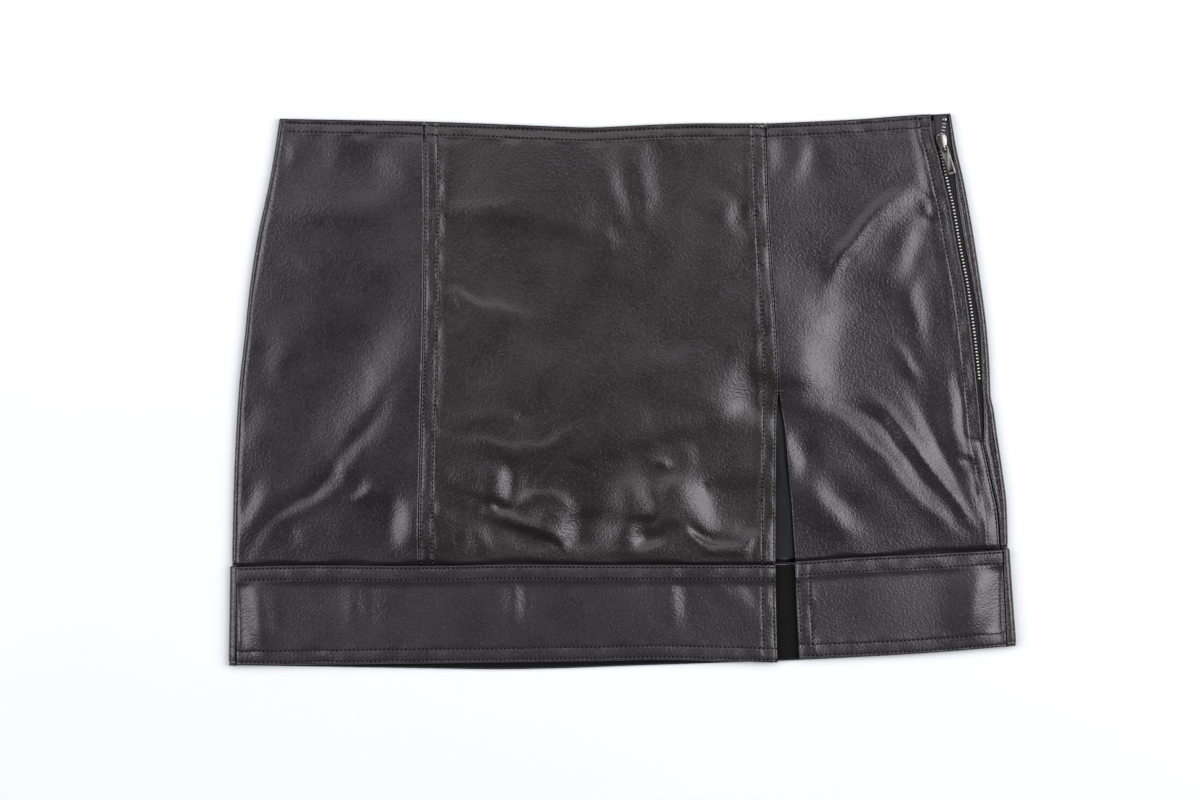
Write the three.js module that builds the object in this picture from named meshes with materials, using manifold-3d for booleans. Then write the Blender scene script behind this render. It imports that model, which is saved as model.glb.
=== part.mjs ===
import * as THREE from 'three';
import { mergeVertices } from 'three/addons/utils/BufferGeometryUtils.js';
import Module from 'manifold-3d';

// Leather mini skirt lying flat, front up, waist towards +Y.
// Origin at the middle of the laid-out outline, on the surface it rests on.
// All sizes are millimetres.

const wasm = await Module();
wasm.setup();

// Thicknesses and clearances
const LEATHER = 1.2;
const TURNED_EDGE = 2.0;
const SEAM_STRIP_RISE = 0.9;
const SEAM_STRIP_WIDTH = 8.5;
const BAND = 2.2;
const LINING = 1.0;
const TAPE = 1.0;
const GAP = 0.3;

// Heights of the layers above the surface
const LINING_UNDERSIDE = 1.5;
const FRONT_HEIGHT = 5.9;
const WAIST_HEIGHT = 5.2;
const LAP_HEIGHT = 4.5;
const PLACKET_HEIGHT = 5.6;
const SIDE_SEAM_HEIGHT = 4.7;
const CURL_END = 4.1;
const TAPE_UNDERSIDE = 2.1;
const BAND_LAP_TOP = 7.0;
const BAND_TOP = 5.9;
const BAND_CURL_END = 4.5;

// Widths across edges and laps
const WAIST_TURNING = 9;
const BAND_LAP = 7.8;
const TAPE_WIDTH = 12;
const CHAIN_WIDTH = 2.2;
const CHAIN_HEIGHT = 1.4;

// Zip slider and pull tab
const SLIDER_CENTRE = { x: 185.3, y: 144.6 };
const SLIDER_TURN = THREE.MathUtils.degToRad(11);
const TAB_TURN = THREE.MathUtils.degToRad(17.5);
const SLIDER_WIDTH = 6.0;
const SLIDER_LENGTH = 10;
const SLIDER_FOOT = 3.4;
const SLIDER_DECK = 5.6;
const BAIL_WIDTH = 1.5;
const BAIL_LENGTH = 9.0;
const BAIL_TOP = 8.3;
const BAIL_WIRE = 0.9;
const TAB_WIDTH = 4.9;
const TAB_LENGTH = 17.4;
const TAB_THICKNESS = 0.9;
const TAB_AXIS_HEIGHT = 6.5;
const TAB_AXIS = { x: 185.82, y: 141.95 };
const TAB_BAR = 1.0;
const TAB_HOLE_LENGTH = 3.4;
const TAB_HOLE_WIDTH = 2.7;
const TAB_SLOT_WIDTH = 2.8;
const TAB_SLOT_LENGTH = 1.1;

// Outline of the back where it folds up at the left and right sides
const LEFT_FOLD = [
  { y: 162, x: -198.8 }, { y: 137.6, x: -202.4 }, { y: 116.8, x: -206.2 },
  { y: 104.6, x: -208.9 }, { y: 90, x: -212 }, { y: 55, x: -217.2 },
  { y: 35, x: -219.2 }, { y: 0, x: -223 }, { y: -45, x: -225.5 },
  { y: -86, x: -226.6 }, { y: -102, x: -226.9 },
];
const RIGHT_FOLD = [
  { y: 162, x: 190.4 }, { y: 139.4, x: 194.3 }, { y: 120.2, x: 198.6 },
  { y: 86, x: 204.6 }, { y: 60.5, x: 208.4 }, { y: 35.6, x: 211.6 },
  { y: 14, x: 213.2 }, { y: -3.3, x: 213.9 }, { y: -9.1, x: 215.3 },
  { y: -25.9, x: 217.7 }, { y: -46.2, x: 220.7 }, { y: -66, x: 223.1 },
  { y: -92, x: 223.9 },
];

// Left side seam, where the front panel meets the folded edge of the back
const LEFT_SEAM = [
  { y: 162, x: -196.6 }, { y: 137.6, x: -200.4 }, { y: 104.6, x: -206.8 },
  { y: 90, x: -209.9 }, { y: 55, x: -215.1 }, { y: 35, x: -217.2 },
  { y: 0, x: -220.9 }, { y: -45, x: -223.3 }, { y: -86, x: -224.3 },
  { y: -100, x: -224.6 },
];

// Princess seams of the front, the right one open below as a slit
const LEFT_PRINCESS = [
  { y: 160, x: -115.2 }, { y: 106.9, x: -115.1 }, { y: 35.6, x: -115.7 },
  { y: -27, x: -117.3 }, { y: -82.8, x: -118.4 }, { y: -112, x: -117.8 },
];
const RIGHT_PRINCESS_CENTRE = [
  { y: 160, x: 82.8 }, { y: 106.9, x: 84.7 }, { y: 76.2, x: 86.3 },
  { y: 35.6, x: 88.9 }, { y: 0, x: 90.5 }, { y: -10.3, x: 89.6 },
  { y: -67.7, x: 89 }, { y: -112, x: 88.8 },
];
const RIGHT_PRINCESS_SIDE = [
  { y: 160, x: 82.8 }, { y: 106.9, x: 84.7 }, { y: 76.2, x: 86.3 },
  { y: 35.6, x: 88.9 }, { y: 0, x: 90.8 }, { y: -10.6, x: 92.1 },
  { y: -21.9, x: 94 }, { y: -45.1, x: 96 }, { y: -67.7, x: 98 },
  { y: -85, x: 99.1 }, { y: -97.8, x: 100 }, { y: -112, x: 100.3 },
];

// Front edge of the zip opening, then the right side seam below it
const ZIP_EDGE = [
  { y: 162, x: 178.8 }, { y: 148, x: 180.4 }, { y: 136.5, x: 183.7 },
  { y: 120.2, x: 187.2 }, { y: 108.1, x: 190.1 }, { y: 86, x: 193.9 },
  { y: 61.7, x: 198.6 }, { y: 35.6, x: 202.3 }, { y: 10.6, x: 205.1 },
  { y: -10.8, x: 207.2 }, { y: -27, x: 208.8 }, { y: -41, x: 211.6 },
  { y: -56, x: 214.7 }, { y: -71, x: 217.7 }, { y: -92, x: 219.2 },
];

// Inner edge of the back's folded strip beside the zip, then the side seam
const BACK_STRIP = [
  { y: 162, x: 188.4 }, { y: 140, x: 191.7 }, { y: 120.2, x: 194.4 },
  { y: 89.5, x: 199.8 }, { y: 61.7, x: 205.2 }, { y: 35.6, x: 209.2 },
  { y: 0.8, x: 210.3 }, { y: -10.8, x: 210.6 }, { y: -20, x: 209.6 },
  { y: -27, x: 209.1 }, { y: -41, x: 211.9 }, { y: -56, x: 215 },
  { y: -71, x: 218 }, { y: -92, x: 219.5 },
];

// Waist edges of front and back, and the hem band's upper and lower edges
const FRONT_WAIST = [
  { x: -197.5, y: 158.2 }, { x: -158, y: 157.5 }, { x: -115, y: 156.6 },
  { x: -71, y: 155.1 }, { x: -36, y: 153.7 }, { x: -19, y: 153.2 },
  { x: -1.4, y: 153.9 }, { x: 22, y: 155 }, { x: 45, y: 155.6 },
  { x: 83, y: 155.6 }, { x: 103, y: 156.3 }, { x: 138, y: 158 },
  { x: 161, y: 159.8 }, { x: 179, y: 160.9 },
];
const BACK_WAIST = [
  { x: -199, y: 158.5 }, { x: -190, y: 157.2 }, { x: -115, y: 155 },
  { x: -19, y: 151.8 }, { x: 83, y: 154 }, { x: 161, y: 158.6 },
  { x: 181, y: 161 }, { x: 191, y: 161.4 },
];
const LONG_BAND_TOP = [
  { x: -224, y: -101.6 }, { x: -178, y: -100.7 }, { x: -118, y: -101.1 },
  { x: -59, y: -100.2 }, { x: 4, y: -100.5 }, { x: 89, y: -100.5 },
];
const SHORT_BAND_TOP = [
  { x: 100, y: -98.7 }, { x: 135, y: -96.2 }, { x: 185, y: -93.8 },
  { x: 220, y: -91.8 },
];
const BACK_BAND_TOP = [
  { x: -228, y: -101.2 }, { x: 88, y: -100.7 }, { x: 140, y: -97 },
  { x: 185, y: -94 }, { x: 225, y: -90.7 },
];
const LONG_BAND_BOTTOM = [
  { x: -224, y: -159 }, { x: -178, y: -158.4 }, { x: -117, y: -157.8 },
  { x: -71, y: -157.2 }, { x: -13, y: -156.4 }, { x: 19, y: -155.7 },
  { x: 48, y: -156.2 }, { x: 90, y: -157.4 },
];
const SHORT_BAND_BOTTOM = [
  { x: 102, y: -155.1 }, { x: 152, y: -153.2 }, { x: 186, y: -151.1 },
  { x: 223, y: -148 },
];
const BACK_BAND_BOTTOM = [
  { x: -228.8, y: -159.2 }, { x: -181, y: -159.8 }, { x: -117, y: -160.8 },
  { x: -71, y: -161.4 }, { x: -36, y: -160.8 }, { x: 2, y: -159.4 },
  { x: 40, y: -158.2 }, { x: 89, y: -156.6 }, { x: 152, y: -153.6 },
  { x: 185, y: -151.4 }, { x: 228.8, y: -147.6 },
];

// Ends of the bands: side folds, side seams and the two slit ends
const BAND_LEFT_FOLD = [{ y: -101, x: -227.9 }, { y: -159, x: -228.8 }];
const BAND_LEFT_SEAM = [{ y: -101, x: -224.1 }, { y: -159, x: -224.1 }];
const BAND_RIGHT_FOLD = [{ y: -90.7, x: 224.7 }, { y: -121, x: 226.8 }, { y: -147.6, x: 228.8 }];
const BAND_RIGHT_SEAM = [{ y: -91, x: 220.3 }, { y: -121, x: 221.6 }, { y: -148, x: 222.9 }];
const LONG_BAND_END = [{ y: -100, x: 88.8 }, { y: -113.5, x: 89 }, { y: -157, x: 90 }];
const SHORT_BAND_END = [
  { y: -98, x: 100 }, { y: -113.5, x: 100.4 }, { y: -136.7, x: 101.4 }, { y: -155, x: 102.4 },
];

// Soft ridges and troughs of the front, each along a straight run
const CREASES = [
  { x1: -211, y1: 104, x2: -125, y2: 102, half: 8, rise: -1.2 },
  { x1: -123, y1: 36, x2: -181, y2: -34, half: 15, rise: 1.8 },
  { x1: -122, y1: -8, x2: -187, y2: -57, half: 12, rise: 1.5 },
  { x1: -205, y1: 62, x2: -216, y2: -60, half: 9, rise: 0.8 },
  { x1: -100, y1: 105, x2: -7, y2: 82, half: 12, rise: -1.1 },
  { x1: -1.5, y1: 134, x2: -1.5, y2: 108, half: 9, rise: 1.1 },
  { x1: 19, y1: 134, x2: 22, y2: 100, half: 9, rise: 1.2 },
  { x1: -109, y1: 56, x2: -60, y2: 47, half: 12, rise: 1.1 },
  { x1: -59, y1: -57, x2: 79, y2: -19, half: 12, rise: -1.4 },
  { x1: -84, y1: -48, x2: -68, y2: -60, half: 11, rise: 2.2 },
  { x1: -42, y1: -72, x2: -28, y2: -88, half: 11, rise: 2 },
  { x1: 8, y1: -48, x2: 10, y2: -75, half: 10, rise: 1.6 },
  { x1: 40, y1: -58, x2: 48, y2: -76, half: 15, rise: 1.8 },
  { x1: 56, y1: 30, x2: 76, y2: -13, half: 14, rise: 2.2 },
  { x1: 94, y1: 146, x2: 102, y2: 122, half: 10, rise: 1 },
  { x1: 172, y1: 130, x2: 120, y2: 70, half: 11, rise: 2.2 },
  { x1: 181, y1: 94, x2: 158, y2: 53, half: 10, rise: 1.4 },
  { x1: 99, y1: 64, x2: 138, y2: 6, half: 18, rise: 2 },
  { x1: 134, y1: -6, x2: 208, y2: -86, half: 10, rise: 2.2 },
  { x1: 103, y1: -26, x2: 104, y2: -47, half: 9, rise: 1 },
  { x1: 114, y1: -57, x2: 143, y2: -84, half: 10, rise: 1.4 },
];

// Soft upright ridges along the bands
const BAND_RIDGES = [
  { x: -206, half: 14, rise: 0.7 }, { x: -152, half: 20, rise: 0.6 },
  { x: -60, half: 16, rise: 0.8 }, { x: 30, half: 18, rise: 0.8 },
  { x: 150, half: 24, rise: 0.5 }, { x: 209, half: 10, rise: 0.6 },
];

// Colours of the materials
const LEATHER_COLOUR = '#2b292a';
const LINING_COLOUR = '#1c1b1f';
const TAPE_COLOUR = '#161517';
const METAL_COLOUR = '#8d8a84';

const clamp = (value, low, high) => Math.min(high, Math.max(low, value));

function smooth(start, end, value) {
  const t = clamp((value - start) / (end - start), 0, 1);
  return t * t * (3 - 2 * t);
}

// Reads a table between its rows, by its first column
function read(table, key, out, value) {
  const rows = table[0][key] <= table[table.length - 1][key] ? table : [...table].reverse();
  if (value <= rows[0][key]) return rows[0][out];
  for (let i = 1; i < rows.length; i += 1) {
    if (value <= rows[i][key]) {
      const t = (value - rows[i - 1][key]) / (rows[i][key] - rows[i - 1][key]);
      return rows[i - 1][out] + t * (rows[i][out] - rows[i - 1][out]);
    }
  }
  return rows[rows.length - 1][out];
}
const edgeX = (table, y) => read(table, 'y', 'x', y);
const edgeY = (table, x) => read(table, 'x', 'y', x);

// Height of one soft crease at a point
function creaseRise(crease, x, y) {
  const dx = crease.x2 - crease.x1;
  const dy = crease.y2 - crease.y1;
  const t = clamp(((x - crease.x1) * dx + (y - crease.y1) * dy) / (dx * dx + dy * dy), 0, 1);
  const away = Math.hypot(x - crease.x1 - t * dx, y - crease.y1 - t * dy);
  return crease.rise * Math.exp(-((away / crease.half) ** 2));
}

const bandTopAt = (x) => (x < 95 ? edgeY(LONG_BAND_TOP, x) : edgeY(SHORT_BAND_TOP, x));

// Upper face of the front panels
function frontHeight(x, y) {
  const rise = CREASES.reduce((sum, crease) => sum + creaseRise(crease, x, y), 0);
  const wave = 0.35 * Math.sin(x / 31 + y / 47) + 0.25 * Math.sin(x / 19 - y / 26 + 1);
  const fromLeft = x - edgeX(LEFT_SEAM, y);
  const fromRight = edgeX(ZIP_EDGE, y) - x;
  let height = FRONT_HEIGHT + clamp(rise + wave, -1.4, 3);
  height = SIDE_SEAM_HEIGHT + (height - SIDE_SEAM_HEIGHT) * smooth(-1, 11, fromLeft);
  const rightEdge = y > -27 ? PLACKET_HEIGHT : SIDE_SEAM_HEIGHT;
  const rightStart = y > -27 ? 10 : -1;
  height = rightEdge + (height - rightEdge) * smooth(rightStart, rightStart + 12, fromRight);
  const fromWaist = edgeY(FRONT_WAIST, x) - y;
  height = WAIST_HEIGHT + (height - WAIST_HEIGHT) * smooth(2, 16, fromWaist);
  const fromBand = y - bandTopAt(x);
  return LAP_HEIGHT + (height - LAP_HEIGHT) * smooth(1, 13, fromBand);
}

// Closed solid between an upper and a lower grid of points
function solidBetween(upper, lower) {
  const rows = upper.length;
  const columns = upper[0].length;
  const positions = [];
  [upper, lower].forEach((grid) => grid.forEach((row) => row.forEach((p) => {
    positions.push(p.x, p.y, p.z);
  })));
  const at = (side, row, column) => side * rows * columns + row * columns + column;
  const faces = [];
  const quad = (a, b, c, d) => faces.push(a, b, c, a, c, d);
  for (let r = 0; r < rows - 1; r += 1) {
    for (let c = 0; c < columns - 1; c += 1) {
      quad(at(0, r, c), at(0, r + 1, c), at(0, r + 1, c + 1), at(0, r, c + 1));
      quad(at(1, r, c), at(1, r, c + 1), at(1, r + 1, c + 1), at(1, r + 1, c));
    }
  }
  for (let c = 0; c < columns - 1; c += 1) {
    quad(at(0, 0, c), at(0, 0, c + 1), at(1, 0, c + 1), at(1, 0, c));
    quad(at(0, rows - 1, c + 1), at(0, rows - 1, c), at(1, rows - 1, c), at(1, rows - 1, c + 1));
  }
  for (let r = 0; r < rows - 1; r += 1) {
    quad(at(0, r + 1, 0), at(0, r, 0), at(1, r, 0), at(1, r + 1, 0));
    quad(at(0, r, columns - 1), at(0, r + 1, columns - 1), at(1, r + 1, columns - 1), at(1, r, columns - 1));
  }
  const geometry = new THREE.BufferGeometry();
  geometry.setAttribute('position', new THREE.Float32BufferAttribute(positions, 3));
  geometry.setIndex(faces);
  geometry.computeVertexNormals();
  return geometry;
}

// Places between two edges: given insets at each end and even steps between
function places(startInsets, endInsets, steps, length) {
  const first = startInsets[startInsets.length - 1] / length;
  const last = 1 - endInsets[endInsets.length - 1] / length;
  const list = startInsets.map((inset) => inset / length);
  for (let i = 1; i < steps; i += 1) list.push(first + ((last - first) * i) / steps);
  [...endInsets].reverse().forEach((inset) => list.push(1 - inset / length));
  return list;
}

// Flat-laid piece between four edges, with its upper face and thickness
function layer(shape) {
  const upper = [];
  const lower = [];
  shape.rows.forEach((v) => {
    const upperRow = [];
    const lowerRow = [];
    shape.columns.forEach((u) => {
      let x = THREE.MathUtils.lerp(shape.left(shape.nominalY(v)), shape.right(shape.nominalY(v)), u);
      let y = THREE.MathUtils.lerp(shape.top(x), shape.bottom(x), v);
      x = THREE.MathUtils.lerp(shape.left(y), shape.right(y), u);
      y = THREE.MathUtils.lerp(shape.top(x), shape.bottom(x), v);
      const z = shape.height(x, y, u, v);
      upperRow.push(new THREE.Vector3(x, y, z));
      lowerRow.push(new THREE.Vector3(x, y, shape.under(x, y, z)));
    });
    upper.push(upperRow);
    lower.push(lowerRow);
  });
  return solidBetween(upper, lower);
}

const PANEL_LENGTH = 266;
const PANEL_ROWS = places([0, 1, WAIST_TURNING, 12], [0, 6, 8, 13, 20], 21, PANEL_LENGTH);
const panelY = (v) => 157 - PANEL_LENGTH * v;

// Front panel: turned and doubled at the waist
function frontUnder(x, y, z) {
  const doubled = 1 - smooth(WAIST_TURNING, WAIST_TURNING + 2, edgeY(FRONT_WAIST, x) - y);
  return z - LEATHER - (TURNED_EDGE - LEATHER) * doubled;
}

const waistRounding = (x, y) => 0.5 * (1 - smooth(0, 1, edgeY(FRONT_WAIST, x) - y));

function frontLeftPanel() {
  return layer({
    rows: PANEL_ROWS,
    columns: places([0, 2, 6, 11], [0, 4], 8, 103),
    nominalY: panelY,
    left: (y) => (y > -101 ? edgeX(LEFT_SEAM, y) + GAP / 2 : -223.5),
    right: (y) => edgeX(LEFT_PRINCESS, y) - GAP / 2,
    top: (x) => edgeY(FRONT_WAIST, x),
    bottom: (x) => edgeY(LONG_BAND_TOP, x) - BAND_LAP,
    height: (x, y) => frontHeight(x, y) - waistRounding(x, y),
    under: (x, y, z) => frontUnder(x, y, z + waistRounding(x, y)),
  });
}

// The centre panel carries both seam turnings as raised strips
function frontCentrePanel() {
  const fromSeam = (x, y) => Math.min(x - edgeX(LEFT_PRINCESS, y), edgeX(RIGHT_PRINCESS_CENTRE, y) - x);
  const strip = (x, y) => {
    const away = fromSeam(x, y);
    const up = 0.55 + 0.45 * smooth(0, 1.2, away);
    const underBand = smooth(-1, 3, y - edgeY(LONG_BAND_TOP, x));
    const belowWaist = 0.4 + 0.6 * smooth(0, 10, edgeY(FRONT_WAIST, x) - y);
    return SEAM_STRIP_RISE * up * underBand * belowWaist
      * (1 - smooth(SEAM_STRIP_WIDTH, SEAM_STRIP_WIDTH + 1.5, away));
  };
  return layer({
    rows: PANEL_ROWS,
    columns: places([0, 1.2, SEAM_STRIP_WIDTH, 10.2], [0, 1.2, SEAM_STRIP_WIDTH, 10.2], 17, 205),
    nominalY: panelY,
    left: (y) => edgeX(LEFT_PRINCESS, y) + GAP / 2,
    right: (y) => edgeX(RIGHT_PRINCESS_CENTRE, y) - GAP / 2,
    top: (x) => edgeY(FRONT_WAIST, x),
    bottom: (x) => edgeY(LONG_BAND_TOP, x) - BAND_LAP,
    height: (x, y) => frontHeight(x, y) + strip(x, y) - waistRounding(x, y),
    under: (x, y, z) => frontUnder(x, y, z - strip(x, y) + waistRounding(x, y)),
  });
}

// The right panel's edge is turned and doubled beside the zip
function frontRightPanel() {
  return layer({
    rows: PANEL_ROWS,
    columns: places([0, 4], [0, 1.2, 6, 10, 12], 9, 105),
    nominalY: panelY,
    left: (y) => edgeX(RIGHT_PRINCESS_SIDE, y) + GAP / 2,
    right: (y) => (y > -93 ? edgeX(ZIP_EDGE, y) - GAP / 2 : 218.6),
    top: (x) => edgeY(FRONT_WAIST, x),
    bottom: (x) => edgeY(SHORT_BAND_TOP, x) - BAND_LAP,
    height: (x, y) => frontHeight(x, y) - waistRounding(x, y),
    under: (x, y, z) => {
      const doubled = 1 - smooth(10, 12, edgeX(ZIP_EDGE, y) - x);
      const along = smooth(-34, -28, y) * (1 - smooth(140, 150, y));
      return frontUnder(x, y, z + waistRounding(x, y)) - (TURNED_EDGE - LEATHER) * doubled * along;
    },
  });
}

// Middle line across the back, folded up and over at both sides
function foldedSection(leftFold, leftEnd, rightFold, rightEnd, half, endZ, flatCount) {
  const turn = [0, 30, 60, 90].map((degrees) => THREE.MathUtils.degToRad(degrees));
  const reach = (endZ - half) * 0.62;
  const waistZ = half + (endZ - half) * 0.5;
  const side = (fold, end, sign) => {
    const outer = fold + sign * half;
    const list = [{ x: outer + sign * reach * 1.9, z: half }];
    turn.forEach((a) => {
      list.push({
        x: outer + sign * reach * (1 - Math.sin(a)),
        z: half + (waistZ - half) * (1 - Math.cos(a)),
      });
    });
    const over = Math.abs(end - outer);
    const bend = Math.min(over, reach);
    [30, 60, 90].forEach((degrees) => {
      const a = THREE.MathUtils.degToRad(degrees);
      list.push({
        x: outer + sign * bend * (1 - Math.cos(a)),
        z: waistZ + (endZ - waistZ) * Math.sin(a),
      });
    });
    list.push({ x: outer + sign * Math.max(over, bend + 0.02), z: endZ });
    return list;
  };
  const left = side(leftFold, leftEnd, 1).reverse();
  const right = side(rightFold, rightEnd, -1);
  const from = left[left.length - 1].x;
  const to = right[0].x;
  const middle = [];
  for (let i = 1; i < flatCount; i += 1) {
    middle.push({ x: from + ((to - from) * i) / flatCount, z: half });
  }
  return [...left, ...middle, ...right];
}

// Solid swept through sections that lie on one another from waist to hem
function foldedPiece(piece) {
  const upper = [];
  const lower = [];
  piece.rows.forEach((v) => {
    const y = piece.nominalY(v);
    const line = foldedSection(
      edgeX(piece.leftFold, y),
      edgeX(piece.leftEnd, y) - GAP / 2,
      edgeX(piece.rightFold, y),
      edgeX(piece.rightEnd, y) + GAP / 2,
      piece.thickness / 2,
      piece.curlEnd,
      piece.flatCount,
    );
    const upperRow = [];
    const lowerRow = [];
    line.forEach((point, i) => {
      const before = line[Math.max(0, i - 1)];
      const after = line[Math.min(line.length - 1, i + 1)];
      const run = Math.hypot(after.x - before.x, after.z - before.z);
      const nx = -(after.z - before.z) / run;
      const nz = (after.x - before.x) / run;
      const half = piece.thickness / 2;
      const at = (side) => {
        const x = point.x + nx * half * side;
        const flat = side > 0 && nz > 0.99 && point.z < half * 1.01;
        const z = Math.max(0, point.z + nz * half * side) + (flat ? piece.extra(x, v) : 0);
        return new THREE.Vector3(x, THREE.MathUtils.lerp(piece.top(x), piece.bottom(x), v), z);
      };
      upperRow.push(at(1));
      lowerRow.push(at(-1));
    });
    upper.push(upperRow);
    lower.push(lowerRow);
  });
  return solidBetween(upper, lower);
}

const BACK_LENGTH = 258;

function backPanel() {
  return foldedPiece({
    rows: places([0, WAIST_TURNING, 11], [0], 24, BACK_LENGTH),
    nominalY: (v) => 158 - BACK_LENGTH * v,
    leftFold: LEFT_FOLD,
    leftEnd: LEFT_SEAM,
    rightFold: RIGHT_FOLD,
    rightEnd: BACK_STRIP,
    thickness: LEATHER,
    curlEnd: CURL_END,
    flatCount: 10,
    top: (x) => edgeY(BACK_WAIST, x),
    bottom: (x) => edgeY(BACK_BAND_TOP, x) + GAP / 2,
    extra: (x, v) => (TURNED_EDGE - LEATHER) * (1 - smooth(WAIST_TURNING, 11, v * BACK_LENGTH)),
  });
}

function backBand() {
  return foldedPiece({
    rows: [0, 0.15, 0.5, 0.85, 1],
    nominalY: (v) => -101 - 57 * v,
    leftFold: BAND_LEFT_FOLD,
    leftEnd: BAND_LEFT_SEAM,
    rightFold: BAND_RIGHT_FOLD,
    rightEnd: BAND_RIGHT_SEAM,
    thickness: BAND,
    curlEnd: BAND_CURL_END,
    flatCount: 10,
    top: (x) => edgeY(BACK_BAND_TOP, x) - GAP / 2,
    bottom: (x) => edgeY(BACK_BAND_BOTTOM, x),
    extra: () => 0,
  });
}

// The band laps over the panels, then drops to lie over the back band
function bandHeight(x, y, top, bottom, left, right) {
  const ridge = BAND_RIDGES.reduce((sum, r) => sum + r.rise * Math.exp(-(((x - r.x) / r.half) ** 2)), 0);
  const ends = smooth(-2, 12, x - left) * smooth(-2, 12, right - x);
  const belowLap = smooth(BAND_LAP + 0.8, BAND_LAP + 4, top - y);
  const hem = smooth(0, 1.2, y - bottom);
  const lap = BAND_LAP_TOP - 0.3 * (1 - ends) - 0.4 * (1 - smooth(0, 1, top - y));
  const open = BAND_TOP - 0.3 * (1 - ends) + ridge * ends * (0.4 + 0.6 * smooth(0, 20, y - bottom));
  return lap + (open - lap) * belowLap - 0.4 * (1 - hem);
}

function frontBand(top, bottom, left, right, steps) {
  const rows = places([0, 1, BAND_LAP + 0.6, BAND_LAP + 4], [0, 1.2], 4, 57);
  return layer({
    rows,
    columns: places([0, 1.5, 6], [0, 1.5, 6], steps, edgeX(right, -130) - edgeX(left, -130)),
    nominalY: (v) => -100 - 57 * v,
    left: (y) => edgeX(left, y),
    right: (y) => edgeX(right, y),
    top: (x) => edgeY(top, x),
    bottom: (x) => edgeY(bottom, x),
    height: (x, y) => bandHeight(x, y, edgeY(top, x), edgeY(bottom, x), edgeX(left, y), edgeX(right, y)),
    under: (x, y, z) => {
      const belowLap = smooth(BAND_LAP + 0.8, BAND_LAP + 4, edgeY(top, x) - y);
      const flat = BAND_LAP_TOP - BAND;
      const thin = z - BAND + 0.4 * (1 - smooth(0, 1.2, y - edgeY(bottom, x)));
      return flat + (thin - flat) * belowLap;
    },
  });
}

function shifted(table, by) {
  return table.map((row) => ({ y: row.y, x: row.x + by }));
}

const frontLongBand = () => frontBand(
  LONG_BAND_TOP,
  LONG_BAND_BOTTOM,
  shifted(BAND_LEFT_SEAM, GAP / 2),
  LONG_BAND_END,
  20,
);
const frontShortBand = () => frontBand(
  SHORT_BAND_TOP,
  SHORT_BAND_BOTTOM,
  SHORT_BAND_END,
  shifted(BAND_RIGHT_SEAM, -GAP / 2),
  8,
);

// Lining of the back, flat on the inside of the back panel
function backLining() {
  return layer({
    rows: places([0], [0], 10, 240),
    columns: places([0], [0], 2, 380),
    nominalY: (v) => 144 - 240 * v,
    left: (y) => edgeX(LEFT_SEAM, y) + 9,
    right: (y) => edgeX(ZIP_EDGE, y) - TAPE_WIDTH - 2,
    top: (x) => edgeY(BACK_WAIST, x) - WAIST_TURNING - 3,
    bottom: (x) => edgeY(BACK_BAND_TOP, x) + 2,
    height: () => LINING_UNDERSIDE + LINING,
    under: () => LINING_UNDERSIDE,
  });
}

// Strips that follow the zip edge at fixed distances from it
const ZIP_TOP = 156;
const ZIP_FOOT = -32;
const ZIP_STEPS = 20;
function zipStrip(fromY, toY, steps, left, right, underside, thickness) {
  const upper = [];
  const lower = [];
  for (let i = 0; i <= steps; i += 1) {
    const y = THREE.MathUtils.lerp(fromY, toY, i / steps);
    const xs = [left(y), right(y)];
    upper.push(xs.map((x) => new THREE.Vector3(x, y, underside + thickness)));
    lower.push(xs.map((x) => new THREE.Vector3(x, y, underside)));
  }
  return solidBetween(upper, lower);
}

const zipTapeFront = () => zipStrip(
  ZIP_TOP,
  ZIP_FOOT,
  ZIP_STEPS,
  (y) => edgeX(ZIP_EDGE, y) - TAPE_WIDTH,
  (y) => edgeX(ZIP_EDGE, y) + 1.3,
  TAPE_UNDERSIDE,
  TAPE,
);
const zipTapeBack = () => zipStrip(
  ZIP_TOP,
  -18,
  ZIP_STEPS,
  (y) => edgeX(ZIP_EDGE, y) + 1.3 + GAP,
  (y) => Math.min(edgeX(BACK_STRIP, y) + 3, edgeX(RIGHT_FOLD, y) - LEATHER - GAP - 0.3),
  TAPE_UNDERSIDE,
  TAPE,
);
const zipChain = () => zipStrip(
  138.2,
  7,
  14,
  (y) => edgeX(ZIP_EDGE, y) + GAP,
  (y) => edgeX(ZIP_EDGE, y) + GAP + CHAIN_WIDTH,
  TAPE_UNDERSIDE + TAPE + GAP,
  CHAIN_HEIGHT,
);

// Boolean work on closed bodies
function toSolid(geometry) {
  const plain = geometry.clone();
  plain.deleteAttribute('normal');
  plain.deleteAttribute('uv');
  const merged = mergeVertices(plain, 1e-5);
  return new wasm.Manifold(new wasm.Mesh({
    numProp: 3,
    vertProperties: new Float32Array(merged.attributes.position.array),
    triVerts: new Uint32Array(merged.index.array),
  }));
}
function toGeometry(solid) {
  const mesh = solid.getMesh();
  const geometry = new THREE.BufferGeometry();
  geometry.setAttribute('position', new THREE.BufferAttribute(mesh.vertProperties.slice(), 3));
  geometry.setIndex(new THREE.BufferAttribute(mesh.triVerts.slice(), 1));
  geometry.computeVertexNormals();
  return geometry;
}

// Plate with its outline in the plane and its thickness along the height
function plate(shape, from, to, segments) {
  const geometry = new THREE.ExtrudeGeometry(shape, {
    depth: to - from,
    bevelEnabled: false,
    curveSegments: segments,
  });
  geometry.translate(0, 0, from);
  return geometry;
}

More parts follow.
